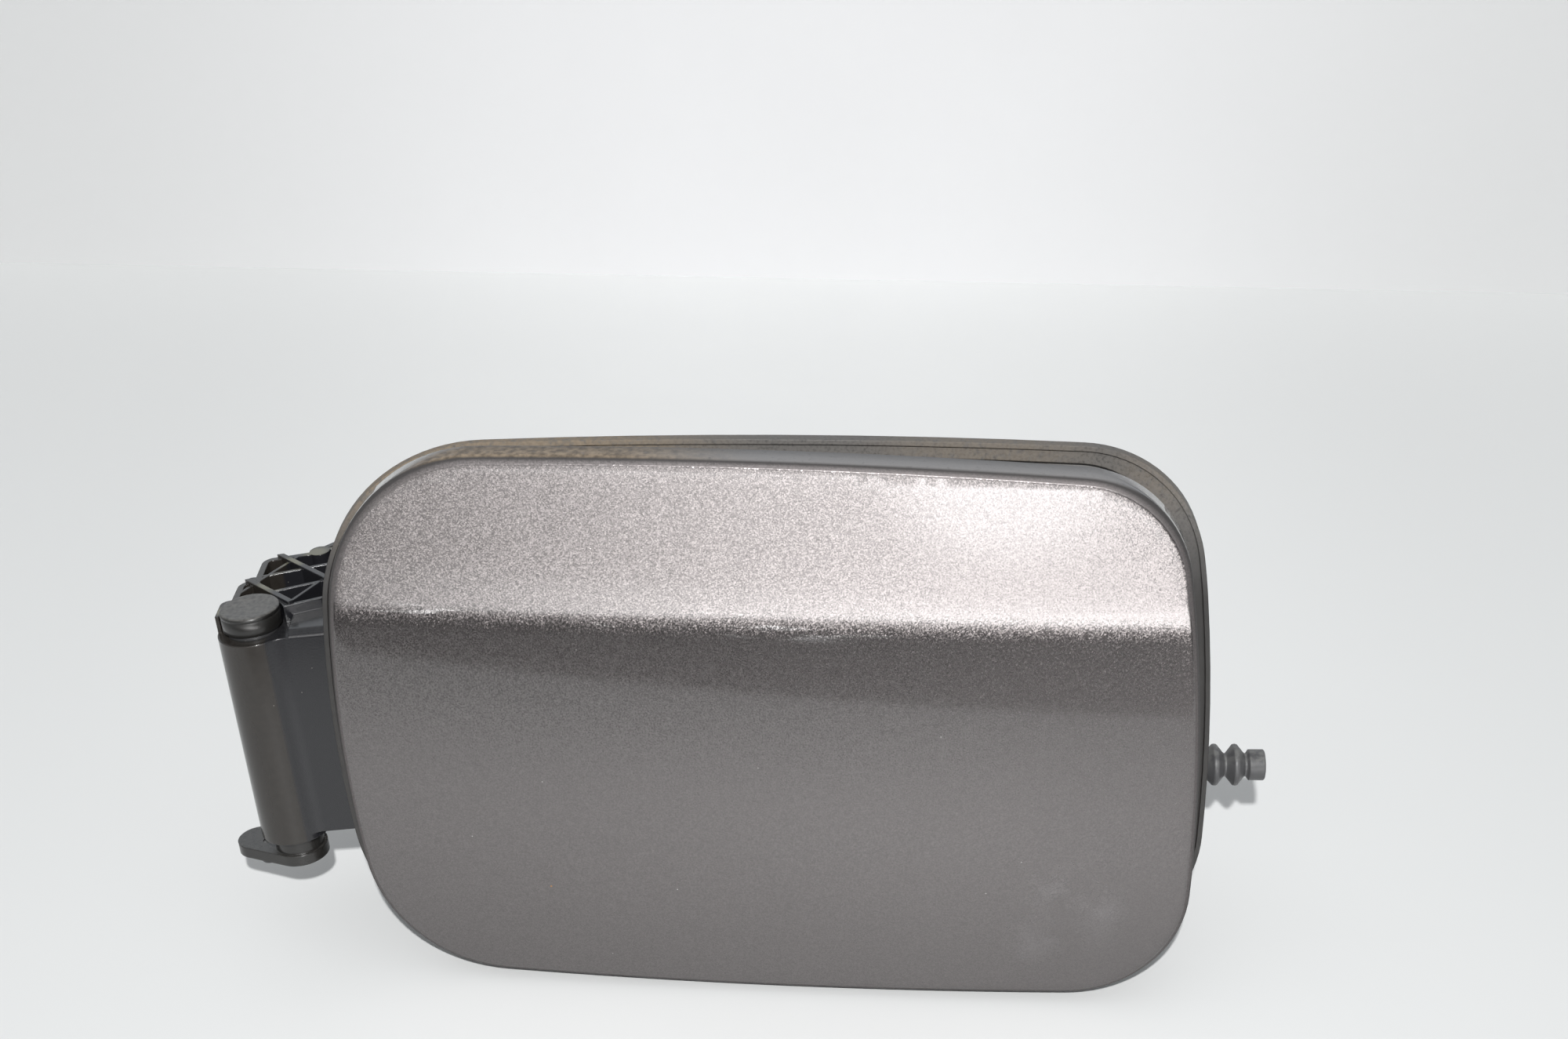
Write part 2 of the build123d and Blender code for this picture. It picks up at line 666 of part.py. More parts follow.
def make_seal():
    """Seal of C section on the flange, with a lip round its front face."""
    base = FLANGE_Y - SEAL_BASE
    seal = prism(flange_outline(), 0, FLANGE_Y) - prism(flange_outline(LIP_T), -1, base)
    face = RETURN_DEPTH + LIP_ROOM + LIP_STEP
    seal += prism(flange_outline(LIP_T / 2), 0, FLANGE_Y) & layer(face, face + SEAL_FACE)
    seal -= prism(pot_outline(RIM_Y, -SEAL_FIT), -SPAN / 4, FLANGE_Y + 1)
    seal &= layer(RETURN_DEPTH + LIP_ROOM, SPAN / 4)
    blocked = column(housing_plan(HOUSING_RIGHT), PLATE_TOP - 0.3, PLATE_END + 0.3)
    seal -= HINGE * (blocked + arm_window())
    return seal.solids().sort_by(SortBy.VOLUME)[-1]


def make_gasket():
    """Grooved rubber ring for the filler neck."""
    grip = NECK_R + GASKET_GRIP
    lip = grip + GASKET_LIP
    middle = POT_DEPTH - FLOOR_T / 2
    ring = rod_y(lip, middle - GASKET_L / 2, middle + GASKET_L / 2, NECK_X, NECK_Z)
    groove = rod_y(lip + 1, POT_DEPTH - FLOOR_T, POT_DEPTH, NECK_X, NECK_Z)
    groove -= rod_y(grip - PRESS_FIT, POT_DEPTH - FLOOR_T, POT_DEPTH, NECK_X, NECK_Z)
    bore = rod_y(NECK_R, middle - GASKET_L, middle + GASKET_L, NECK_X, NECK_Z)
    return ring - groove - bore


def make_guide():
    """Guide bush for the lock pin, with a collar inside the pot."""
    wall = side_x(wall_inset(LOCK_Y), LOCK_Z)
    inner = wall - POT_WALL - 1.2
    outer = wall + BOSS_L + GUIDE_STICK
    guide = rod_x(GUIDE_R, inner, outer, LOCK_Y, LOCK_Z)
    return guide - rod_x(LOCK_R, inner - 1, outer + 1, LOCK_Y, LOCK_Z)


def gaiter_fold(left, right, low, high):
    """Half profile of one fold of the gaiter."""
    middle = (left + right) / 2
    half = GAITER_CREST / 2
    return Polyline((left, low), (middle - half, high), (middle + half, high), (right, low))


def make_gaiter():
    """Rubber bellows with an end sleeve, slipped over the lock guide."""
    wall = side_x(wall_inset(LOCK_Y), LOCK_Z)
    first = wall + BOSS_L + END_GAP
    start = first + GUIDE_STICK + END_GAP
    last = start + GAITER_PEAKS * GAITER_PITCH
    tail = last + GAITER_SLEEVE_L
    collar = GUIDE_R + PRESS_FIT
    cuff = collar + GAITER_WALL
    bore = LOCK_R + PRESS_FIT
    folds = []
    hollows = []
    for turn in range(GAITER_PEAKS):
        left = start + turn * GAITER_PITCH
        right = left + GAITER_PITCH
        folds.append(gaiter_fold(left, right, GAITER_VALLEY, GAITER_PEAK))
        inside = (left + GAITER_WALL, right - GAITER_WALL)
        crest = ((left + right) / 2, GAITER_PEAK - GAITER_WALL)
        hollows.append(Polyline((inside[0], bore), crest, (inside[1], bore)))
    lead = [(start, GAITER_VALLEY), (start, cuff), (first, cuff), (first, collar)]
    lead += [(start, collar), (start, bore)]
    end = [(last, GAITER_VALLEY), (last, GAITER_SLEEVE), (tail, GAITER_SLEEVE), (tail, bore)]
    edges = [Polyline(*lead, hollows[0] @ 0), Polyline(*end, hollows[-1] @ 1), *folds, *hollows]
    for near, far in zip(hollows, hollows[1:]):
        edges.append(Line(near @ 1, far @ 0))
    body = revolve(make_face(edges), Axis.X)
    return Pos(0, LOCK_Y, LOCK_Z) * body


def make_bush(seat, lip):
    """Flanged bush of the hinge pin."""
    low = min(seat[0], lip[0])
    high = max(seat[1], lip[1])
    bush = post(BUSH_R, *seat) + post(BUSH_R + BUSH_LIP, *lip)
    return bush - post(PIN_R + PIN_FIT, low - 1, high + 1)


def make_cap():
    """Cap on the pin's upper end with a rounded top edge."""
    cap = post(CAP_R, 0, CAP_H)
    cap = fillet(cap.edges().sort_by(Axis.Z)[-1], 0.8)
    return cap - post(PIN_R + PRESS_FIT, PIN_TOP - END_GAP, CAP_H + 1)


def make_crank():
    """Hub and lever plate on the pin's lower end."""
    plan = make_hull((Circle(LEVER_HUB_R) + Pos(LEVER_U, LEVER_V) * Circle(LEVER_END_R)).edges())
    crank = post(HUB_R, HUB_TOP, LEVER_TOP) + column(plan, LEVER_TOP, LEVER_END)
    crank -= post(PIN_R + PRESS_FIT, 0, PIN_END + 5)
    return crank - post(PEG_R / 2 + PRESS_FIT, LEVER_TOP, LEVER_END + 1, *peg_spot())


def peg_spot():
    """Centre of the crank's peg in plan."""
    return (LEVER_U * 0.75, LEVER_V * 0.5)


def make_peg():
    """Headed peg set in the crank's lever."""
    peg = post(PEG_R / 2, LEVER_TOP + 0.2, LEVER_END + 1, *peg_spot())
    return peg + post(PEG_R, LEVER_END, LEVER_END + PEG_H, *peg_spot())


def make_spring():
    """Torsion spring round the pin between the knuckles."""
    height = COIL_TURNS * COIL_PITCH
    points = []
    for step in range(COIL_TURNS * COIL_SIDES + 1):
        angle = 2 * math.pi * step / COIL_SIDES
        rise = COIL_PITCH * step / COIL_SIDES
        points.append((COIL_R * math.cos(angle), COIL_R * math.sin(angle), rise))
    path = Polyline(*points)
    section = Plane(path @ 0, z_dir=path % 0) * RegularPolygon(WIRE_R, WIRE_SIDES)
    wire = sweep(section, path, transition=Transition.RIGHT)
    middle = (ARM_TOP + ARM_END) / 2
    return Pos(0, 0, -middle - height / 2) * wire


def make_buffers():
    """Two rubber buffers with stems in the pot's pads."""
    tip = CARRIER_BACK + FRAME_H
    pad_y = tip + BUFFER_L
    buffers = []
    for x, z in buffer_spots():
        crown = CROWN_R - math.sqrt(CROWN_R * CROWN_R - x * x)
        body = rod_y(BUFFER_R, tip + crown + END_GAP, pad_y, x, z)
        body += rod_y(BUFFER_STEM, pad_y - 1, pad_y + BUFFER_TAIL, x, z)
        buffers.append(body)
    return Compound([body.solid() for body in buffers])


def make_fixing_clips():
    """Leaf clips on the pads of the pot's top and bottom walls."""
    near = FLANGE_Y + FLANGE_T + 0.5
    far = FLANGE_Y + FLANGE_T + FIX_L
    clips = []
    for x in FIX_X:
        for sign in (1, -1):
            seat = edge_z(wall_inset(FLANGE_Y + FLANGE_T, sign) - 0.6, x, sign)
            base = (seat, seat + sign * FIX_T)
            tip = (seat + sign * FIX_RISE, seat + sign * (FIX_RISE + FIX_T))
            points = [(far, base[0]), (far, base[1]), (near + 6, tip[1]), (near + 2, tip[1])]
            points += [(near + 2, tip[0]), (near + 5.6, tip[0]), (far - 3, base[1])]
            points += [(near + 1, base[1]), (near + 1, base[0])]
            face = Plane.YZ.offset(x) * make_face(Polyline(*points, close=True))
            clips.append(extrude(face, amount=FIX_W))
    return Compound([clip.solid() for clip in clips])


door = {
    "door_skin": make_skin(),
    "door_carrier": make_carrier(),
    "skin_clips": make_skin_clips(),
    "lock_eye": make_lock_eye(),
    "eye_screws": make_eye_screws(),
    "cap_hook": make_cap_hook(),
    "hinge_pin": HINGE * post(PIN_R, PIN_TOP, PIN_END),
    "pin_cap": HINGE * make_cap(),
    "crank_lever": HINGE * make_crank(),
    "crank_peg": HINGE * make_peg(),
}
retainer = post(PIN_R + RETAINER_W, LEVER_END, LEVER_END + RETAINER_T)
door["pin_retainer"] = HINGE * (retainer - post(PIN_R + PRESS_FIT, LEVER_TOP, PIN_END + 1))

fixed = {
    "filler_pot": make_pot(),
    "rim_seal": make_seal(),
    "neck_gasket": make_gasket(),
    "lock_guide": make_guide(),
    "lock_gaiter": make_gaiter(),
    "hinge_spring": HINGE * make_spring(),
    "stop_buffers": make_buffers(),
    "fixing_clips": make_fixing_clips(),
}
upper_seat = (BARREL_TOP, BARREL_TOP + BEARING_T)
lower_seat = (BARREL_END - BEARING_T, BARREL_END)
fixed["upper_bush"] = HINGE * make_bush(upper_seat, (BARREL_TOP - BUSH_LIP_T, BARREL_TOP))
fixed["lower_bush"] = HINGE * make_bush(lower_seat, (BARREL_END, BARREL_END + BUSH_LIP_T))

for name, shape in door.items():
    export_step(NECK_ORIGIN * OPENED * shape, f"parts/{name}.step")
for name, shape in fixed.items():
    export_step(NECK_ORIGIN * shape, f"parts/{name}.step")
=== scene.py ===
"""Car fuel door standing ajar in its filler pot, dressed for a studio picture."""
import json
import logging
import math
from dataclasses import dataclass
from enum import Enum

import bmesh
import bpy
from mathutils import Matrix, Vector
from mathutils.geometry import delaunay_2d_cdt


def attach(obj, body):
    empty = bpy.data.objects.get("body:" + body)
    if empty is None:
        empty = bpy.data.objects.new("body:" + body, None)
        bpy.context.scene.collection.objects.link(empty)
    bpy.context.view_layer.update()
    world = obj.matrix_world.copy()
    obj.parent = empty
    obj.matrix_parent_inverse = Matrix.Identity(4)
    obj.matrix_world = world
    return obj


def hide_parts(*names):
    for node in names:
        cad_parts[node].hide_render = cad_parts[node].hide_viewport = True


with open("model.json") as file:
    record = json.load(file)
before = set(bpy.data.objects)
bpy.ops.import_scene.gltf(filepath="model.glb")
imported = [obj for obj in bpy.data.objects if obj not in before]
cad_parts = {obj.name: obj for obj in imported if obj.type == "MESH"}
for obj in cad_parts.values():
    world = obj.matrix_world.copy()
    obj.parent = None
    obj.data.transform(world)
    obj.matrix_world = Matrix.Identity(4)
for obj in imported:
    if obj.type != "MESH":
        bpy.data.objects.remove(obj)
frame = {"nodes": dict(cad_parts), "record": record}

LOG = logging.getLogger("fuel_door")
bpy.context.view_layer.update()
MM = 0.001
Colour = tuple[float, float, float]
Point = tuple[float, float, float]
Node = bpy.types.Node
Socket = bpy.types.NodeSocket
Material = bpy.types.Material
Piece = bpy.types.Object
Mesh = bmesh.types.BMesh
SPOT_CORE = 0.3
DIRT_DARK: Colour = (0.15, 0.115, 0.08)
DIRT_PALE: Colour = (0.3, 0.245, 0.18)


class Body(Enum):
    """Bodies that a piece can ride on."""

    POT = "pot"
    DOOR = "door"


@dataclass(frozen=True)
class Places:
    """Where the millimetre sizes of the pot, the door and the hinge lie in the part's frame."""

    shift: Point = (-4.0, -58.75, 4.0)
    pin_top: Point = (-128.5, 18.0, 23.4)
    lean: float = 6.18
    ajar: float = 4.0

    def pot(self) -> Matrix:
        """Sizes of the fixed pieces, in metres from the middle of the filler neck."""
        return Matrix.Scale(MM, 4) @ Matrix.Translation(self.shift)

    def axis(self) -> Matrix:
        """Top of the leaning hinge pin, in the pot's millimetres."""
        lean = Matrix.Rotation(math.radians(-self.lean), 4, "Y")
        return Matrix.Translation(self.pin_top) @ lean

    def hinge(self, body: Body) -> Matrix:
        """Sizes counted from the top of the hinge pin, along its axis.

        Args:
            body: The body that the piece belongs to.

        Returns:
            Matrix from millimetres at the hinge to the part's frame.
        """
        turn = -self.ajar if body is Body.DOOR else 0.0
        return self.pot() @ self.axis() @ Matrix.Rotation(math.radians(turn), 4, "Z")

    def door(self) -> Matrix:
        """Sizes of the closed door, turned to where it stands ajar."""
        return self.hinge(Body.DOOR) @ self.axis().inverted()


PLACES = Places()


def link_object(name: str, data: bpy.types.ID) -> Piece:
    """New object of the scene for a mesh, a lamp or a camera."""
    made = bpy.data.objects.new(name, data)
    bpy.context.scene.collection.objects.link(made)
    return made


class NodeBench:
    """Node tree that is built up node by node."""

    tree: bpy.types.NodeTree

    def node(self, kind: str, inputs: dict | None = None, **options: object) -> Node:
        """Adds a node.

        Args:
            kind: Blender's name of the node.
            inputs: Values or sockets for its inputs, by name or number.
            options: Properties of the node.

        Returns:
            The new node.
        """
        made = self.tree.nodes.new(kind)
        for key, value in options.items():
            setattr(made, key, value)
        for key, value in (inputs or {}).items():
            self.join(value, made.inputs[key])
        return made

    def join(self, source: object, target: Socket) -> None:
        """Links a socket, or sets a plain value, on an input."""
        if isinstance(source, Socket):
            self.tree.links.new(source, target)
        else:
            target.default_value = source


class FinishSheet(NodeBench):
    """Node tree of one finish, read in millimetres of the part's frame."""

    def __init__(self, name: str) -> None:
        """Starts a material with its shader and its coordinates.

        Args:
            name: Name of the finish.
        """
        self.material = bpy.data.materials.new(name)
        self.material.use_nodes = True
        self.tree = self.material.node_tree
        self.shader = self.tree.nodes["Principled BSDF"]
        place = {0: self.node("ShaderNodeTexCoord").outputs["Object"], "Scale": 1 / MM}
        self.place = self.node("ShaderNodeVectorMath", place, operation="SCALE").outputs[0]

    def set(self, **values: object) -> None:
        """Sets inputs of the shader, with underscores for the spaces in their names."""
        for key, value in values.items():
            self.join(value, self.shader.inputs[key.replace("_", " ")])

    def noise(self, size: float, detail: float = 3.0, stretch: Point = (1, 1, 1)) -> Socket:
        """Cloudy pattern.

        Args:
            size: Size of its clouds in millimetres.
            detail: How many finer layers it has.
            stretch: Factors on the three axes.

        Returns:
            Socket between 0 and 1.
        """
        place = self.node("ShaderNodeMapping", {"Scale": stretch, "Vector": self.place}).outputs[0]
        clouds = {"Scale": 1 / size, "Detail": detail, "Vector": place}
        return self.node("ShaderNodeTexNoise", clouds).outputs["Fac"]

    def cells(self, size: float, output: str = "Color") -> Socket:
        """Cell pattern.

        Args:
            size: Size of its cells in millimetres.
            output: Which output of the pattern is read.

        Returns:
            Socket of that output.
        """
        cells = {"Scale": 1 / size, "Vector": self.place}
        return self.node("ShaderNodeTexVoronoi", cells).outputs[output]

    def band(self, value: Socket, low: float, high: float) -> Socket:
        """Smooth step from 0 at the low value to 1 at the high one."""
        ends = {"Value": value, "From Min": low, "From Max": high}
        made = self.node("ShaderNodeMapRange", ends, interpolation_type="SMOOTHSTEP")
        return made.outputs["Result"]

    def math(self, operation: str, first: object, *others: object) -> Socket:
        """One operation over several values in turn."""
        for other in others:
            made = self.node("ShaderNodeMath", {0: first, 1: other}, operation=operation)
            first = made.outputs[0]
        return first

    def times(self, *values: object) -> Socket:
        """Product of several values."""
        return self.math("MULTIPLY", *values)

    def plus(self, *values: object) -> Socket:
        """Sum of several values."""
        return self.math("ADD", *values)

    def most(self, *values: object) -> Socket:
        """Largest of several values."""
        return self.math("MAXIMUM", *values)

    def rest(self, value: object) -> Socket:
        """What a value leaves of 1."""
        return self.math("SUBTRACT", 1.0, value)

    def mix(self, share: object, first: object, second: object) -> Socket:
        """Blend of two colours.

        Args:
            share: Share of the second colour.
            first: First colour or socket.
            second: Second colour or socket.

        Returns:
            Socket of the blended colour.
        """
        made = self.node("ShaderNodeMix", {"Factor": share}, data_type="RGBA")
        for value, socket in zip((first, second), [s for s in made.inputs if s.type == "RGBA"]):
            self.join(value if isinstance(value, Socket) else (*value, 1.0), socket)
        return [s for s in made.outputs if s.type == "RGBA"][0]

    def vector(self, operation: str, *values: object) -> Socket:
        """Operation on vectors, given as sockets or as plain values."""
        made = self.node("ShaderNodeVectorMath", dict(enumerate(values)), operation=operation)
        return made.outputs["Value" if operation == "LENGTH" else "Vector"]

    def part(self, vector: Socket, name: str) -> Socket:
        """One part of a vector."""
        return self.node("ShaderNodeSeparateXYZ", {0: vector}).outputs[name]

    def axis(self, name: str) -> Socket:
        """One coordinate of the surface in millimetres."""
        return self.part(self.place, name)

    def normal(self) -> Socket:
        """Outward direction of the surface."""
        return self.node("ShaderNodeNewGeometry").outputs["Normal"]

    def facing(self, name: str) -> Socket:
        """One part of the surface's outward direction."""
        return self.part(self.normal(), name)

    def spot(self, centre: Vector, radius: float, stretch: Point = (1, 1, 1)) -> Socket:
        """Soft round patch.

        Args:
            centre: Its middle, in millimetres of the part's frame.
            radius: Radius at which it has faded out.
            stretch: Factors that flatten it along the three axes.

        Returns:
            Socket that is 1 in the middle and 0 outside.
        """
        offset = self.vector("SUBTRACT", self.place, centre)
        away = self.vector("LENGTH", self.vector("MULTIPLY", offset, stretch))
        return self.band(away, radius, radius * SPOT_CORE)

    def rounded(self, radius: float) -> Socket:
        """Normal that rounds the edges of a moulding by a radius in millimetres."""
        return self.node("ShaderNodeBevel", {"Radius": radius * MM}, samples=6).outputs["Normal"]

    def bump(self, height: Socket, depth: float, normal: Socket) -> Socket:
        """Relief on the surface.

        Args:
            height: Pattern of the relief.
            depth: Its depth in millimetres.
            normal: Normal that it is laid on.

        Returns:
            Socket of the bumped normal.
        """
        relief = {"Distance": depth * MM, "Height": height, "Normal": normal}
        return self.node("ShaderNodeBump", relief).outputs["Normal"]


def door_spot(x: float, z: float, y: float = 1.0) -> Vector:
    """Point of the ajar door in millimetres of the part's frame."""
    return PLACES.door() @ Vector((x, y, z)) / MM


def pot_spot(x: float, y: float, z: float) -> Vector:
    """Point of the pot in millimetres of the part's frame."""
    return PLACES.pot() @ Vector((x, y, z)) / MM


@dataclass(frozen=True)
class MetallicPaint:
    """Clear-coated grey paint with bright flake, a finger smudge, specks and a chip, painted shade
    towards its foot and a dark line of painted shade along its rounded edge.
    """

    name: str = "grey_metallic_paint"
    base: Colour = (0.194, 0.179, 0.178)
    dark: Colour = (0.147, 0.136, 0.135)
    shade: Colour = (0.02, 0.018, 0.018)
    grease: Colour = (0.62, 0.63, 0.66)
    scratch: Colour = (0.75, 0.74, 0.74)
    speck: Colour = (0.8, 0.78, 0.76)
    primer: Colour = (0.34, 0.19, 0.09)
    edge_shade_colour: Colour = (0.035, 0.032, 0.031)
    mud: Colour = (0.13, 0.1, 0.07)
    sand: Colour = (0.32, 0.25, 0.175)
    ash: Colour = (0.24, 0.235, 0.235)
    flake: float = 0.26
    tilt: float = 0.15
    roughness: float = 0.265

    def make(self) -> Material:
        """Builds the paint's node tree."""
        sheet = FinishSheet(self.name)
        colour = sheet.cells(self.flake)
        share = sheet.node("ShaderNodeSeparateColor", {0: colour}).outputs[0]
        paint = sheet.mix(share, self.dark, self.base)
        # Painted shade: the paint darkens towards the door's foot, standing in for the shaded table
        # that it mirrors there.
        foot = sheet.times(sheet.band(sheet.axis("Z"), -8.0, -68.0), 0.24)
        paint = sheet.mix(foot, paint, self.shade)
        smudge = self.smudge(sheet)
        paint = sheet.mix(sheet.times(smudge, 0.05), paint, self.grease)
        paint = self.marked(sheet, paint)
        turned = sheet.facing("Y")
        edge = sheet.band(turned, -0.04, -0.2)
        # Painted shade: a dark, non-metallic line along the skin's rounded edge, in place of the
        # edge's glint.
        painted_edge_shade = sheet.times(sheet.band(turned, -0.8, -0.6), edge, 0.85)
        matt = sheet.times(sheet.band(turned, -0.94, -0.89), edge)
        paint = sheet.mix(painted_edge_shade, paint, self.edge_shade_colour)
        top = sheet.band(sheet.facing("Z"), 0.8, 0.97)
        dust = sheet.times(top, sheet.band(sheet.noise(1.4, 6.0), 0.0, 0.45), 0.94)
        brown = sheet.mix(sheet.band(sheet.noise(1.6, 7.0), 0.3, 0.7), self.mud, self.sand)
        film = sheet.mix(sheet.band(sheet.axis("X"), -45.0, -5.0), brown, self.ash)
        lean = sheet.vector("MULTIPLY_ADD", colour, (self.tilt,) * 3, (-self.tilt / 2,) * 3)
        dull = sheet.most(dust, matt)
        sheet.set(
            Base_Color=sheet.mix(dust, paint, film),
            Metallic=sheet.rest(sheet.most(dust, painted_edge_shade)),
            Roughness=sheet.plus(self.roughness, sheet.times(smudge, 0.1), sheet.times(dull, 0.4)),
            Normal=sheet.vector("NORMALIZE", sheet.vector("ADD", sheet.normal(), lean)),
            Coat_Weight=sheet.rest(dull),
            Coat_Roughness=0.06,
            Coat_IOR=1.5,
        )
        return sheet.material

    @staticmethod
    def smudge(sheet: FinishSheet) -> Socket:
        """Mask of the finger smudge at the door's lower right."""
        area = sheet.plus(sheet.spot(door_spot(74, -43), 17), sheet.spot(door_spot(64.5, -53), 9))
        return sheet.times(sheet.band(sheet.noise(9.0, 4.0), 0.36, 0.8), area)

    def marked(self, sheet: FinishSheet, paint: Socket) -> Socket:
        """Scuffs along the crease, light specks and one chip.

        Args:
            sheet: Finish that the marks are on.
            paint: Colour below them.

        Returns:
            Colour with the marks.
        """
        left = sheet.spot(door_spot(-72, 31), 20, (0.6, 1, 4))
        middle = sheet.spot(door_spot(-10, 32), 30, (0.5, 1, 6))
        streaks = sheet.band(sheet.noise(5.0, 5.0, (0.25, 1, 2.4)), 0.56, 0.74)
        scuffs = sheet.times(streaks, sheet.plus(left, middle), 0.5)
        paint = sheet.mix(scuffs, paint, self.scratch)
        specks = sheet.math("LESS_THAN", sheet.cells(9.0, "Distance"), 0.016)
        paint = sheet.mix(sheet.times(specks, 0.6), paint, self.speck)
        chip = sheet.math("GREATER_THAN", sheet.spot(door_spot(-53.9, -42.5), 0.7), 0.4)
        return sheet.mix(chip, paint, self.primer)


@dataclass(frozen=True)
class MouldedPlastic:
    """Dark moulded plastic with fine grain, rounded edges and settled dust; on the pot also road dirt,
    painted shade beside the barrel, a painted highlight on the housing edge and painted light on the
    rim's face.
    """

    name: str
    base: Colour
    pale: Colour
    roughness: float
    grain: float = 0.5
    depth: float = 0.012
    edge: float = 0.45
    dust: float = 0.35
    # Turns on road dirt together with painted shade, a painted highlight and painted light.
    dirt: bool = False
    powder: Colour = (0.3, 0.29, 0.27)
    fleck: Colour = (0.6, 0.58, 0.52)
    painted_plate_shade: Colour = (0.014, 0.0142, 0.0165)
    dust_and_painted_light: Colour = (0.26, 0.255, 0.25)
    edge_highlight_colour: Colour = (0.27, 0.26, 0.17)

    def make(self) -> Material:
        """Builds the plastic's node tree."""
        sheet = FinishSheet(self.name)
        paint = sheet.mix(sheet.noise(2.0, 6.0), self.base, self.pale)
        if self.dirt:
            # Painted shade: the plate beside the barrel is darker and bluer than the barrel.
            paint = sheet.mix(self.beside_barrel(sheet), paint, self.painted_plate_shade)
        up = sheet.band(sheet.facing("Z"), 0.35, 0.95)
        soil = sheet.times(up, sheet.band(sheet.noise(1.1, 6.0), 0.1, 0.75), self.dust)
        paint = sheet.mix(soil, paint, self.powder)
        flecks = sheet.math("LESS_THAN", sheet.cells(4.0, "Distance"), 0.03)
        paint = sheet.mix(sheet.times(flecks, 0.3), paint, self.fleck)
        if self.dirt:
            # Dust and painted light: the rim's front face, which lies in shade behind the door, is
            # made lighter.
            front = sheet.band(sheet.facing("Y"), -0.5, -0.9)
            lip = sheet.band(sheet.axis("Y"), -34.0, -38.0)
            high = sheet.band(sheet.axis("Z"), 38.0, 58.0)
            paint = sheet.mix(sheet.times(front, lip, high, 0.85), paint, self.dust_and_painted_light)
            # Painted highlight: pale olive tops along the housing's outer edge.
            paint = sheet.mix(sheet.times(self.housing_edge_highlight(sheet), up, 0.5), paint, self.edge_highlight_colour)
            brown = sheet.times(road_dirt(sheet), 0.85)
            paint = sheet.mix(brown, paint, dirt_colour(sheet, 1.6, 4.0))
            soil = sheet.most(soil, brown)
        uneven = sheet.times(sheet.noise(3.0, 4.0), 0.07)
        rough = sheet.plus(self.roughness, uneven, sheet.times(soil, 0.4))
        normal = sheet.bump(sheet.noise(self.grain, 3.0), self.depth, sheet.rounded(self.edge))
        sheet.set(Base_Color=paint, Roughness=rough, Normal=normal, Specular_IOR_Level=0.6)
        return sheet.material

    @staticmethod
    def housing_edge_highlight(sheet: FinishSheet) -> Socket:
        """Mask of the painted highlight along the outer edge of the ribbed hinge housing."""
        hinge = PLACES.hinge(Body.POT)
        mask = sheet.spot(hinge @ Vector((-7.5, 3.0, 0.0)) / MM, 3.0, (1, 1, 0.3))
        for along, across in ((0, 9.0), (2.6, 14), (4.4, 19), (6.3, 26), (11, 32), (17, 33)):
            place = hinge @ Vector((along, across, 0.0)) / MM
            mask = sheet.most(mask, sheet.spot(place, 4.6, (1, 1, 0.3)))
        return mask

    @staticmethod
    def beside_barrel(sheet: FinishSheet) -> Socket:
        """Mask of the plate beside the hinge barrel, where painted shade makes the plastic darker and
        bluer.
        """
        lean = math.radians(PLACES.lean)
        top = pot_spot(*PLACES.pin_top)
        along = sheet.times(sheet.math("SUBTRACT", sheet.axis("X"), top.x), math.cos(lean))
        drop = sheet.times(sheet.math("SUBTRACT", sheet.axis("Z"), top.z), math.sin(lean))
        return sheet.band(sheet.plus(along, drop), 3.5, 4.5)


def road_dirt(sheet: FinishSheet) -> Socket:
    """Mask of the tan road dirt along the top of the rim.

    Args:
        sheet: Finish that the dirt lies on.

    Returns:
        Socket of the mask.
    """
    left = sheet.spot(pot_spot(-68, 12, 68), 62, (0.9, 1, 1.6))
    corner = sheet.spot(pot_spot(-88, 12, 62), 26)
    middle = sheet.times(sheet.spot(pot_spot(50, 12, 68), 24, (0.7, 1, 1.4)), 0.4)
    right = sheet.times(sheet.spot(pot_spot(92, 12, 63), 16), 0.3)
    patch = sheet.band(sheet.noise(1.3, 8.0), 0.22, 0.56)
    return sheet.times(sheet.most(left, corner, middle, right), patch)


def dirt_colour(sheet: FinishSheet, size: float, detail: float) -> Socket:
    """Tan of the road dirt, with darker patches of a size in millimetres."""
    return sheet.mix(sheet.noise(size, detail), DIRT_DARK, DIRT_PALE)


@dataclass(frozen=True)
class LipRubber:
    """Dusty dark rubber of the seal and the gaiter; the seal also has road dirt and painted light on
    its high rim.
    """

    name: str
    base: Colour
    pale: Colour
    roughness: float
    dusty: Colour
    dust: float
    # Turns on road dirt together with dust and painted light on the high rim.
    dirt: bool = False
    dust_and_painted_light: Colour = (0.135, 0.126, 0.117)

    def make(self) -> Material:
        """Builds the rubber's node tree."""
        sheet = FinishSheet(self.name)
        paint = sheet.mix(sheet.noise(4.0, 5.0), self.base, self.pale)
        up = sheet.band(sheet.facing("Z"), 0.1, 0.9)
        soil = sheet.times(up, sheet.band(sheet.noise(1.8, 6.0), 0.34, 0.62), self.dust)
        paint = sheet.mix(soil, paint, self.dusty)
        if self.dirt:
            # Dust and painted light: the seal's high rim is made lighter where the door shades it.
            high = sheet.band(sheet.axis("Z"), 38.0, 60.0)
            dust_and_painted_light = sheet.times(high, sheet.band(sheet.noise(0.7, 6.0), 0.1, 0.6), 0.9)
            paint = sheet.mix(dust_and_painted_light, paint, self.dust_and_painted_light)
            brown = road_dirt(sheet)
            paint = sheet.mix(brown, paint, dirt_colour(sheet, 0.8, 5.0))
            soil = sheet.most(soil, brown)
        rough = sheet.plus(self.roughness, sheet.times(soil, 0.25))
        normal = sheet.bump(sheet.noise(0.35, 3.0), 0.03, sheet.rounded(0.35))
        sheet.set(Base_Color=paint, Roughness=rough, Normal=normal, Specular_IOR_Level=0.45)
        return sheet.material


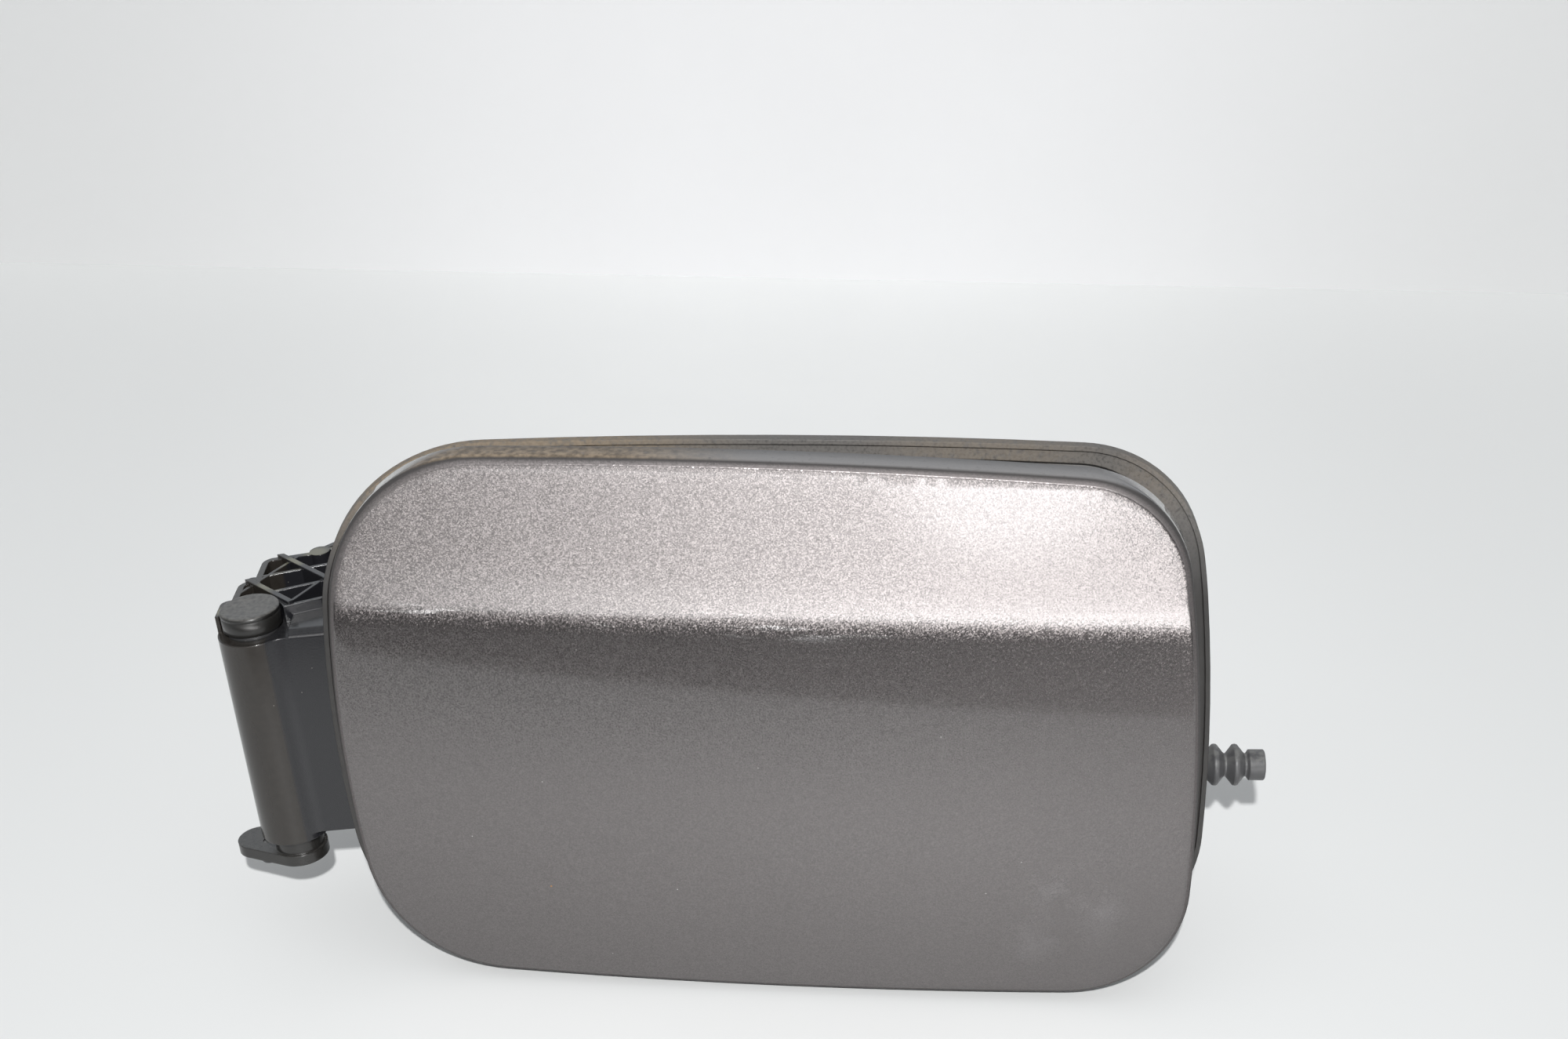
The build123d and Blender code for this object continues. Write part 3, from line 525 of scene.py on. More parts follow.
@dataclass(frozen=True)
class DrawnSteel:
    """Zinc-plated steel with fine drawing lines and dull patches."""

    name: str = "plated_steel"
    base: Colour = (0.5, 0.49, 0.47)
    dull: Colour = (0.33, 0.31, 0.28)

    def make(self) -> Material:
        """Builds the steel's node tree."""
        sheet = FinishSheet(self.name)
        patch = sheet.band(sheet.noise(3.0, 5.0), 0.35, 0.7)
        colour = sheet.mix(patch, self.base, self.dull)
        rough = sheet.plus(0.28, sheet.times(patch, 0.22))
        lines = sheet.noise(0.5, 4.0, (1, 1, 0.08))
        normal = sheet.bump(lines, 0.015, sheet.rounded(0.15))
        sheet.set(Base_Color=colour, Metallic=1.0, Roughness=rough, Normal=normal)
        return sheet.material


@dataclass
class DoorOutline:
    """Outline of the door seen square on, with bowed sides and round corners."""

    width: float = 195.0
    height: float = 135.0
    lean: float = 2.8
    bows: tuple[float, float, float, float] = (7.4, 3.2, 4.8, 2.0)
    corners: tuple[float, float, float, float] = (37.0, 27.0, 30.0, 36.0)
    side_steps: int = 28
    corner_steps: int = 18

    def ring(self, inset: float) -> list[Vector]:
        """Points round the outline.

        Args:
            inset: Distance that the outline is drawn in.

        Returns:
            The same number of points for every inset, clockwise from the left side.
        """
        half = self.width / 2 - inset
        high = self.height / 2 - inset
        shift = math.tan(math.radians(self.lean)) * high
        tl, tr = Vector((-half - shift, high)), Vector((half - shift, high))
        br, bl = Vector((half + shift, -high)), Vector((-half + shift, -high))
        outward = (Vector((-1, 0)), Vector((0, 1)), Vector((1, 0)), Vector((0, -1)))
        ends = ((bl, tl), (tl, tr), (tr, br), (br, bl))
        arcs = []
        for (first, last), way, bow in zip(ends, outward, self.bows):
            middle = (first + last) / 2 + way * bow
            arcs.append(self.circle(first, middle, last))
        rounds = []
        for index, radius in enumerate(self.corners):
            before, after = arcs[index], arcs[(index + 1) % 4]
            corner = (tl, tr, br, bl)[index]
            rounds.append((self.corner_centre(before, after, radius - inset, corner), radius - inset))
        points = []
        for index in range(4):
            centre = arcs[index][0]
            start = self.touch(rounds[index - 1], arcs[index])
            stop = self.touch(rounds[index], arcs[index])
            points += self.sweep(centre, start, stop, self.side_steps)
            after = self.touch(rounds[index], arcs[(index + 1) % 4])
            points += self.sweep(rounds[index][0], stop, after, self.corner_steps)
        return points

    @staticmethod
    def circle(first: Vector, middle: Vector, last: Vector) -> tuple[Vector, float]:
        """Centre and radius of the circle through three points."""
        a, b = middle - first, last - first
        cross = 2 * (a.x * b.y - a.y * b.x)
        x = (b.y * a.length_squared - a.y * b.length_squared) / cross
        y = (a.x * b.length_squared - b.x * a.length_squared) / cross
        centre = first + Vector((x, y))
        return centre, (first - centre).length

    @staticmethod
    def corner_centre(before: tuple, after: tuple, radius: float, corner: Vector) -> Vector:
        """Centre of the corner circle that touches two side arcs from inside.

        Args:
            before: Centre and radius of the first side.
            after: Centre and radius of the next side.
            radius: Radius of the corner.
            corner: Point where the sides would meet.

        Returns:
            The centre nearest to that point.
        """
        (c0, r0), (c1, r1) = before, after
        r0, r1 = r0 - radius, r1 - radius
        apart = (c1 - c0).length
        along = (apart * apart + r0 * r0 - r1 * r1) / (2 * apart)
        across = math.sqrt(r0 * r0 - along * along)
        way = (c1 - c0).normalized()
        foot = c0 + way * along
        normal = Vector((-way.y, way.x))
        return min((foot + normal * across, foot - normal * across), key=lambda p: (p - corner).length)

    @staticmethod
    def touch(small: tuple, large: tuple) -> Vector:
        """Point where a corner circle touches a side arc."""
        return large[0] + (small[0] - large[0]).normalized() * large[1]

    @staticmethod
    def sweep(centre: Vector, start: Vector, stop: Vector, steps: int) -> list[Vector]:
        """Points along an arc, without its last one."""
        first = math.atan2(start.y - centre.y, start.x - centre.x)
        last = math.atan2(stop.y - centre.y, stop.x - centre.x)
        turn = (last - first + math.pi) % (2 * math.pi) - math.pi
        radius = (start - centre).length
        angles = [first + turn * step / steps for step in range(steps)]
        return [centre + radius * Vector((math.cos(a), math.sin(a))) for a in angles]


@dataclass
class PaintedSkin:
    """Creased and crowned outer skin of the door, with a rounded edge and a returned rim."""

    crease_height: float = 32.4
    crease_rise: float = 1.15
    tilt: float = 12.0
    crease_radius: float = 36.0
    crown: float = 2600.0
    thick: float = 1.8
    edge: float = 2.0
    depth: float = 7.0
    edge_steps: int = 7
    back_edge: float = 0.3
    row_step: float = 3.0
    rows_below: int = 35
    rows_above: int = 13
    fine_step: float = 0.4
    fine_reach: float = 4.8
    column_step: float = 4.0
    half_width: float = 130.0
    clear: float = 0.8

    def surface(self, x: float, z: float) -> float:
        """Depth of the outer surface at a place on the door."""
        s, c = math.sin(math.radians(self.crease_rise)), math.cos(math.radians(self.crease_rise))
        across = x * c + (z - self.crease_height) * s
        above = -x * s + (z - self.crease_height) * c
        back = self.profile(above)
        return self.crown - math.sqrt((self.crown - back) ** 2 - across * across)

    def profile(self, above: float) -> float:
        """How far the surface falls back at a distance above the crease."""
        tilt = math.radians(self.tilt)
        reach = self.crease_radius * math.tan(tilt / 2)
        if above < -reach:
            return 0.0
        if above < reach * math.cos(tilt):
            lift = above + reach
            return self.crease_radius - math.sqrt(self.crease_radius ** 2 - lift * lift)
        return math.tan(tilt) * above

    def rows(self) -> list[float]:
        """Distances from the crease of the rows of the sheet's points."""
        count = round(2 * self.fine_reach / self.fine_step) + 1
        rows = [step * self.fine_step - self.fine_reach for step in range(count)]
        rows += [-self.fine_reach - self.row_step * (step + 1) for step in range(self.rows_below)]
        rows += [self.fine_reach + self.row_step * (step + 1) for step in range(self.rows_above)]
        return sorted(rows)

    def sheet(self, ring: list[Vector]) -> tuple[list[Vector], list[list[int]]]:
        """Triangles that fill an outline, in rows along the crease.

        Args:
            ring: Outline of the sheet.

        Returns:
            Points with the outline's first, and faces.
        """
        s, c = math.sin(math.radians(self.crease_rise)), math.cos(math.radians(self.crease_rise))
        points = list(ring)
        count = int(self.half_width / self.column_step)
        for row in self.rows():
            for step in range(-count, count + 1):
                along = step * self.column_step
                point = Vector((along * c - row * s, along * s + row * c + self.crease_height))
                if self.inside(point, ring):
                    points.append(point)
        loop = [(i, (i + 1) % len(ring)) for i in range(len(ring))]
        made = delaunay_2d_cdt(points, loop, [list(range(len(ring)))], 1, 1e-5)
        return list(made[0]), [list(face) for face in made[2]]

    def inside(self, point: Vector, ring: list[Vector]) -> bool:
        """Whether a point lies well inside an outline."""
        hits = 0
        near = 1e9
        for first, last in zip(ring, ring[1:] + ring[:1]):
            near = min(near, (point - first).length)
            if (first.y > point.y) != (last.y > point.y):
                cut = first.x + (point.y - first.y) * (last.x - first.x) / (last.y - first.y)
                hits += cut > point.x
        return hits % 2 == 1 and near > self.clear

    def build(self, outline: DoorOutline) -> Piece:
        """Models the skin as one closed sheet.

        Args:
            outline: Outline of the door.

        Returns:
            The skin's object.
        """
        bm = bmesh.new()
        rings = [self.fill(bm, outline.ring(self.edge), 0.0)]
        for step in range(1, self.edge_steps + 1):
            angle = math.pi / 2 * step / self.edge_steps
            inset = self.edge * (1 - math.sin(angle))
            rings.append(self.ring_verts(bm, outline.ring(inset), self.edge * (1 - math.cos(angle))))
        rings.append(self.ring_verts(bm, outline.ring(0), self.depth - self.back_edge))
        rings.append(self.ring_verts(bm, outline.ring(self.back_edge), self.depth))
        rings.append(self.ring_verts(bm, outline.ring(self.thick), self.depth))
        rings.append(self.fill(bm, outline.ring(self.thick), self.thick))
        for first, second in zip(rings, rings[1:]):
            self.bridge(bm, first, second)
        bmesh.ops.recalc_face_normals(bm, faces=bm.faces[:])
        piece = mesh_object("painted_skin", bm, PLACES.door())
        piece.data.shade_smooth()
        return piece

    def ring_verts(self, bm: Mesh, ring: list[Vector], depth: float) -> list[bmesh.types.BMVert]:
        """Points of an outline at a depth behind the outer surface."""
        return [bm.verts.new((p.x, self.surface(p.x, p.y) + depth, p.y)) for p in ring]

    def fill(self, bm: Mesh, ring: list[Vector], depth: float) -> list[bmesh.types.BMVert]:
        """Fills an outline at a depth behind the outer surface and gives its edge."""
        points, faces = self.sheet(ring)
        verts = self.ring_verts(bm, points, depth)
        for face in faces:
            bm.faces.new([verts[i] for i in (reversed(face) if depth else face)])
        return verts[: len(ring)]

    @staticmethod
    def bridge(bm: Mesh, first: list, second: list) -> None:
        """Joins two rings of points by a band of faces."""
        count = len(first)
        for i in range(count):
            j = (i + 1) % count
            bm.faces.new((first[i], second[i], second[j], first[j]))


def mesh_object(name: str, bm: Mesh, place: Matrix) -> Piece:
    """Turns a mesh in millimetres into an object of the scene.

    Args:
        name: Name of the piece.
        bm: The mesh, which is freed.
        place: Matrix from its millimetres to the part's frame.

    Returns:
        The new object.
    """
    bm.transform(place)
    mesh = bpy.data.meshes.new(name)
    bm.to_mesh(mesh)
    bm.free()
    return link_object(name, mesh)


def lathe(name: str, profile: list[tuple[float, float]], place: Matrix, sides: int = 96) -> Piece:
    """Turned piece round the local Z axis.

    Args:
        name: Name of the piece.
        profile: Radius and height of its points, from one end on the axis to the other.
        place: Matrix to the part's frame.
        sides: Number of steps round the axis.

    Returns:
        The new object, with its poles closed.
    """
    bm = bmesh.new()
    angles = [2 * math.pi * i / sides for i in range(sides)]
    rings = []
    for radius, height in profile:
        points = [(radius * math.cos(a), radius * math.sin(a), height) for a in angles]
        rings.append([bm.verts.new(point) for point in (points if radius else points[:1])])
    for first, second in zip(rings, rings[1:]):
        for i in range(sides):
            j = (i + 1) % sides
            ends = ((first, i), (second, i), (second, j), (first, j))
            corners = [ring[at % len(ring)] for ring, at in ends]
            bm.faces.new(list(dict.fromkeys(corners)))
    bmesh.ops.recalc_face_normals(bm, faces=bm.faces[:])
    piece = mesh_object(name, bm, place)
    piece.data.shade_smooth()
    return piece


class GeometryBench(NodeBench):
    """Geometry Nodes tree with named sizes, turned into a plain mesh."""

    def __init__(self, name: str) -> None:
        """Starts an empty tree.

        Args:
            name: Name of the piece that it makes.
        """
        self.name = name
        self.tree = bpy.data.node_groups.new(name + "_tree", "GeometryNodeTree")
        self.tree.interface.new_socket("Geometry", in_out="OUTPUT", socket_type="NodeSocketGeometry")
        self.source = self.tree.nodes.new("NodeGroupInput")
        self.sink = self.tree.nodes.new("NodeGroupOutput")
        self.values: dict[str, float] = {}

    def size(self, name: str, value: float, kind: str = "NodeSocketFloat") -> Socket:
        """Named input of the tree.

        Args:
            name: What the size is.
            value: Its value, in millimetres or as a count.
            kind: Type of the socket.

        Returns:
            Socket that carries the size.
        """
        socket = self.tree.interface.new_socket(name, in_out="INPUT", socket_type=kind)
        self.values[socket.identifier] = value
        return [s for s in self.source.outputs if s.identifier == socket.identifier][0]

    def finish(self, geometry: Socket, material: Material, place: Matrix) -> Piece:
        """Ends the tree and turns its result into a plain mesh.

        Args:
            geometry: Socket of the finished geometry, in millimetres.
            material: Finish of the piece.
            place: Matrix to the part's frame.

        Returns:
            The new object.
        """
        smooth = self.node("GeometryNodeSetShadeSmooth", {"Geometry": geometry})
        real = self.node("GeometryNodeRealizeInstances", {"Geometry": smooth.outputs[0]})
        coat = {"Geometry": real.outputs[0], "Material": material}
        dressed = self.node("GeometryNodeSetMaterial", coat)
        self.join(dressed.outputs[0], self.sink.inputs[0])
        carrier = link_object(self.name + "_carrier", bpy.data.meshes.new(self.name + "_carrier"))
        modifier = carrier.modifiers.new("tree", "NODES")
        modifier.node_group = self.tree
        for identifier, value in self.values.items():
            modifier[identifier] = value
        graph = bpy.context.evaluated_depsgraph_get()
        mesh = bpy.data.meshes.new_from_object(carrier.evaluated_get(graph))
        mesh.name = self.name
        mesh.transform(place)
        bpy.data.objects.remove(carrier)
        return link_object(self.name, mesh)


@dataclass
class LockGaiter:
    """Rubber bellows with an open end sleeve, slipped over the lock guide."""

    centre: tuple[float, float] = (27.0, -25.8)
    start: float = 105.66
    cuff_length: float = 3.3
    cuff: float = 4.32
    cuff_edge: float = 0.25
    cuff_slope: float = 0.7
    cuff_lift: float = 0.15
    valley: float = 2.9
    valley_half: float = 0.25
    valley_lift: float = 0.1
    peak: float = 5.35
    crest_half: float = 0.55
    crest_drop: float = 0.12
    pitch: float = 5.2
    folds: int = 2
    sleeve: float = 3.95
    sleeve_length: float = 4.8
    sleeve_slope: float = 0.9
    sleeve_edge: float = 0.2
    wall: float = 0.75
    rings: int = 180
    sides: int = 56

    def profile(self) -> list[tuple[float, float]]:
        """Distances along the gaiter with their outer radius."""
        points = [(0.0, self.cuff - self.cuff_edge), (self.cuff_edge, self.cuff)]
        points.append((self.cuff_length - self.cuff_slope, self.cuff))
        at = self.cuff_length
        points.append((at, self.valley + self.cuff_lift))
        low, high = self.valley + self.valley_lift, self.peak - self.crest_drop
        for _ in range(self.folds):
            middle = at + 0.5 * self.pitch
            at += self.pitch
            points += [(middle - self.crest_half, high), (middle, self.peak)]
            points += [(middle + self.crest_half, high)]
            points += [(at - self.valley_half, low), (at + self.valley_half, low)]
        end = at + self.sleeve_length
        points += [(at + self.sleeve_slope, self.sleeve), (end - self.sleeve_edge, self.sleeve)]
        return points + [(end, self.sleeve - self.sleeve_edge)]

    def build(self, material: Material) -> Piece:
        """Sweeps the bellows along its axis.

        Args:
            material: Rubber of the gaiter.

        Returns:
            The gaiter's object.
        """
        points = self.profile()
        length = points[-1][0]
        bench = GeometryBench("lock_bellows")
        sides = bench.size("Sides", self.sides, "NodeSocketInt")
        count = bench.size("Rings", self.rings, "NodeSocketInt")
        reach = bench.size("Length", length)
        widest = bench.size("Widest radius", self.peak)
        end = bench.node("ShaderNodeCombineXYZ", {"X": reach})
        line = bench.node("GeometryNodeCurvePrimitiveLine", {"End": end.outputs[0]})
        fine = bench.node("GeometryNodeResampleCurve", {"Curve": line.outputs[0], "Count": count})
        along = bench.node("GeometryNodeSplineParameter")
        shape = bench.node("ShaderNodeFloatCurve", {"Value": along.outputs["Factor"]})
        self.draw(shape, points, length)
        scale = {0: shape.outputs[0], 1: widest}
        radius = bench.node("ShaderNodeMath", scale, operation="MULTIPLY")
        ring = bench.node("GeometryNodeCurvePrimitiveCircle", {"Resolution": sides, "Radius": 1.0})
        tube = bench.node(
            "GeometryNodeCurveToMesh",
            {"Curve": fine.outputs[0], "Profile Curve": ring.outputs[0], "Scale": radius.outputs[0]},
        )
        place = PLACES.pot() @ Matrix.Translation((self.start, *self.centre))
        piece = bench.finish(tube.outputs[0], material, place)
        solid = piece.modifiers.new("rubber_wall", "SOLIDIFY")
        solid.thickness = self.wall * MM
        solid.offset = -1
        return piece

    def draw(self, node: Node, points: list[tuple[float, float]], length: float) -> None:
        """Lays the profile's points on a curve node."""
        curve = node.mapping.curves[0]
        while len(curve.points) > 2:
            curve.points.remove(curve.points[1])
        curve.points[0].location = (0, points[0][1] / self.peak)
        curve.points[1].location = (1, points[-1][1] / self.peak)
        for at, radius in points[1:-1]:
            curve.points.new(at / length, radius / self.peak)
        for point in curve.points:
            point.handle_type = "VECTOR"
        node.mapping.update()


@dataclass
class HingeSpring:
    """Round wire coil on the hinge pin."""

    middle: float = 35.0
    radius: float = 3.9
    wire: float = 0.6
    turns: float = 5.0
    pitch: float = 3.0
    steps: int = 48
    sides: int = 14

    def build(self, material: Material) -> Piece:
        """Sweeps the wire along a spiral.

        Args:
            material: Steel of the wire.

        Returns:
            The spring's object.
        """
        bench = GeometryBench("coiled_spring")
        radius = bench.size("Coil radius", self.radius)
        wire = bench.size("Wire radius", self.wire)
        turns = bench.size("Turns", self.turns)
        height = bench.size("Height", self.turns * self.pitch)
        ends = {"Start Radius": radius, "End Radius": radius, "Height": height}
        path = bench.node(
            "GeometryNodeCurveSpiral", {"Resolution": self.steps, "Rotations": turns, **ends}
        )
        section = {"Resolution": self.sides, "Radius": wire}
        ring = bench.node("GeometryNodeCurvePrimitiveCircle", section)
        coil = bench.node(
            "GeometryNodeCurveToMesh",
            {"Curve": path.outputs[0], "Profile Curve": ring.outputs[0], "Fill Caps": True},
        )
        low = -self.middle - self.turns * self.pitch / 2
        place = PLACES.hinge(Body.POT) @ Matrix.Translation((0, 0, low))
        return bench.finish(coil.outputs[0], material, place)


@dataclass
class HingeCap:
    """Round cap on the upper end of the hinge pin."""

    radius: float = 7.4
    height: float = 5.1
    edge: float = 0.6
    edge_steps: int = 8
    bore: float = 3.05
    seat: float = 1.4
    dish: float = 0.12
    dish_shares: tuple[float, float, float] = (0.55, 0.62, 0.7)
    groove: float = 0.22
    groove_rows: tuple[float, float, float, float] = (1.0, 1.1, 1.3, 1.45)
    draft: float = 0.08
    foot: float = 0.25

    def build(self) -> Piece:
        """Turns the cap with a rounded top edge, a groove and a faintly dished top."""
        flat, slope, rim = (self.radius * share for share in self.dish_shares)
        profile = [(0.0, -self.dish), (flat, -self.dish), (slope, -self.dish * 0.6), (rim, 0.0)]
        for step in range(self.edge_steps + 1):
            angle = math.pi / 2 * step / self.edge_steps
            inset = self.edge * (1 - math.sin(angle))
            profile.append((self.radius - inset, -self.edge * (1 - math.cos(angle))))
        above, top, low, below = self.groove_rows
        waist, skirt = self.radius - self.groove, self.radius - self.draft
        profile += [(self.radius, -above), (waist, -top), (waist, -low), (skirt, -below)]
        profile += [(skirt, self.foot - self.height), (skirt - self.foot, -self.height)]
        profile += [(self.bore, -self.height), (self.bore, -self.seat), (0.0, -self.seat)]
        return lathe("hinge_cap", profile, PLACES.hinge(Body.DOOR))


@dataclass
class Studio:
    """Pale table with a low pale wall, soft light and the camera."""

    table_height: float = -67.5
    table_front: float = -215.0
    wall_left: tuple[float, float] = (-351.7, 479.2)
    wall_right: tuple[float, float] = (330.3, 441.6)
    wall_height: float = 135.0
    reach: float = 3.0
    ground_drop: float = 0.45
    sky: Colour = (0.96, 0.98, 1.0)
    sky_strength: float = 0.45
    key_at: Point = (0.0, -0.72, 0.475)
    key_size: float = 0.016
    key_power: float = 10.0
    eye: Point = (0.001683, -0.60298, 0.314159)
    right: Point = (0.99998, 0.00593, -0.00077)
    up: Point = (-0.00181, 0.42375, 0.90578)
    lens: float = 59.4
    sensor: float = 36.0

    def build(self) -> None:
        """Sets up the table, the wall, the cards, the light and the camera."""
        self.lay_table()
        self.hang_cards()
        self.light()
        self.aim_camera()

    def wall_line(self, share: float) -> Vector:
        """Point of the line between table and wall, in metres."""
        left, right = Vector(self.wall_left), Vector(self.wall_right)
        at = left + (right - left) * share
        return Vector((at.x * MM, at.y * MM, self.table_height * MM))

    def lay_table(self) -> None:
        """Builds the table, the wall and the dark ground before the table."""
        white = self.stage_finish("table_white", (0.86, 0.868, 0.863), (0.765, 0.773, 0.768), 250.0)
        wall = self.stage_finish("wall_white", (0.585, 0.586, 0.592), (0.495, 0.499, 0.499), 330.0)
        dark = self.stage_finish("ground_dark", (0.035, 0.033, 0.033), (0.03, 0.028, 0.028), 900.0)
        floor = self.table_height * MM
        front = self.table_front * MM
        left, right = self.wall_line(-2.0), self.wall_line(3.0)
        self.quad("table", [(left.x, front, floor), (right.x, front, floor), right, left], white)
        top = Vector((0, 0, self.wall_height * MM))
        self.quad("wall", [left, right, right + top, left + top], wall)
        low, reach = floor - self.ground_drop, self.reach
        corners = [(-reach, -reach), (reach, -reach), (reach, front), (-reach, front)]
        ground = self.quad("ground", [(*corner, low) for corner in corners], dark)
        ground.visible_camera = False

    def hang_cards(self) -> None:
        """Hangs a glowing card before the part, which the paint mirrors, and one behind it."""
        front = FinishSheet("front_card")
        self.card(front, (1.0, 0.99, 0.985), self.front_glow(front), -1.5, (-1.6, 1.0, -0.5, 0.84))
        back = FinishSheet("back_card")
        glow = back.times(back.band(back.axis("Z"), 120.0, 420.0), 0.85)
        self.card(back, (0.9, 0.95, 1.0), glow, 1.5, (-1.6, 1.6, 0.1, 2.0))

    @staticmethod
    def front_glow(sheet: FinishSheet) -> Socket:
        """Glow that the paint mirrors above its crease, brighter to the right.

        Args:
            sheet: Finish of the card.

        Returns:
            Socket of the glow's strength.
        """
        across, height = sheet.axis("X"), sheet.axis("Z")
        rise = sheet.plus(0.86, sheet.times(sheet.band(across, -860.0, 60.0), 2.02))
        crest = sheet.times(sheet.band(height, 25.0, 65.0), sheet.band(height, 150.0, 100.0))
        crest = sheet.times(crest, sheet.band(across, -1000.0, -100.0), 3.2)
        right = sheet.times(sheet.band(across, -200.0, 150.0), 90.0)
        strip = sheet.times(sheet.band(height, -38.0, -62.0), sheet.band(across, -900.0, -500.0))
        strip = sheet.times(strip, sheet.band(sheet.plus(height, right), -260.0, -180.0), 1.55)
        flare = sheet.times(sheet.spot(Vector((20.0, -1500.0, 45.0)), 165.0, (1, 1, 2.0)), 6.0)
        glow = sheet.plus(sheet.times(rise, sheet.plus(1.0, strip)), flare, crest)
        slope = sheet.plus(height, sheet.times(across, 0.45))
        foot = sheet.plus(height, sheet.times(across, 0.05), right)
        return sheet.times(glow, sheet.band(slope, 330.0, 150.0), sheet.band(foot, -375.0, -205.0))

    def card(
        self, sheet: FinishSheet, colour: Colour, glow: Socket, depth: float,
        box: tuple[float, float, float, float],
    ) -> None:
        """Upright glowing card that is seen in gloss only.

        Args:
            sheet: Its finish.
            colour: Colour of its glow.
            glow: Strength of its glow.
            depth: Its distance behind the filler neck's middle, in metres.
            box: Its left, right, lower and upper ends.
        """
        sheet.set(Base_Color=(0, 0, 0, 1), Emission_Color=(*colour, 1), Emission_Strength=glow)
        left, right, low, high = box
        corners = [(left, depth, low), (right, depth, low), (right, depth, high), (left, depth, high)]
        card = self.quad(sheet.material.name, corners, sheet.material)
        card.visible_camera = card.visible_diffuse = card.visible_shadow = False

    def quad(self, name: str, corners: list, material: Material) -> Piece:
        """Flat stage sheet.

        Args:
            name: Name of the sheet.
            corners: Its four corners in metres.
            material: Its finish.

        Returns:
            The new object.
        """
        mesh = bpy.data.meshes.new(name)
        mesh.from_pydata([tuple(c) for c in corners], [], [(0, 1, 2, 3)])
        mesh.materials.append(material)
        sheet = link_object(name, mesh)
        return sheet

    def stage_finish(self, name: str, colour: Colour, painted_side_shade: Colour, reach: float) -> Material:
        """Plain board with faint mottling and painted shade that darkens it towards its sides,
        standing in for the light falling off.

        Args:
            name: Name of the finish.
            colour: Colour in the middle.
            painted_side_shade: Colour of the painted shade at the sides.
            reach: Distance from the middle at which the sides are fully dark.

        Returns:
            The board's material.
        """
        sheet = FinishSheet(name)
        shade = tuple(part * 0.965 for part in colour)
        board = sheet.mix(sheet.noise(60.0, 3.0), colour, shade)
        away = sheet.math("ABSOLUTE", sheet.axis("X"), 0.0)
        # Painted shade: darker towards the sides, standing in for the light's falloff.
        board = sheet.mix(sheet.band(away, 40.0, reach), board, painted_side_shade)
        sheet.set(Base_Color=board, Roughness=0.5, Specular_IOR_Level=0.2)
        return sheet.material

    def light(self) -> None:
        """Pale surroundings and a small key light that lights near and far alike."""
        world = bpy.data.worlds.new("studio")
        world.use_nodes = True
        bpy.context.scene.world = world
        sky = world.node_tree.nodes["Background"]
        sky.inputs["Color"].default_value = (*self.sky, 1)
        sky.inputs["Strength"].default_value = self.sky_strength
        data = bpy.data.lights.new("key", "AREA")
        data.shape = "RECTANGLE"
        data.size = data.size_y = self.key_size
        data.energy = self.key_power
        data.use_nodes = True
        even = data.node_tree.nodes.new("ShaderNodeLightFalloff")
        even.inputs["Strength"].default_value = 1.0
        strength = data.node_tree.nodes["Emission"].inputs["Strength"]
        data.node_tree.links.new(even.outputs["Constant"], strength)
        turn = (-Vector(self.key_at)).to_track_quat("-Z", "Y").to_matrix().to_4x4()
        link_object("key", data).matrix_world = Matrix.Translation(self.key_at) @ turn

    def aim_camera(self) -> None:
        """Puts the camera where the photograph was taken from."""
        data = bpy.data.cameras.new("camera")
        data.lens = self.lens
        data.sensor_width = self.sensor
        data.clip_start = 0.01
        right, up = Vector(self.right), Vector(self.up)
        turn = Matrix((right, up, right.cross(up))).transposed().to_4x4()
        camera = link_object("camera", data)
        camera.matrix_world = Matrix.Translation(self.eye) @ turn
        bpy.context.scene.camera = camera


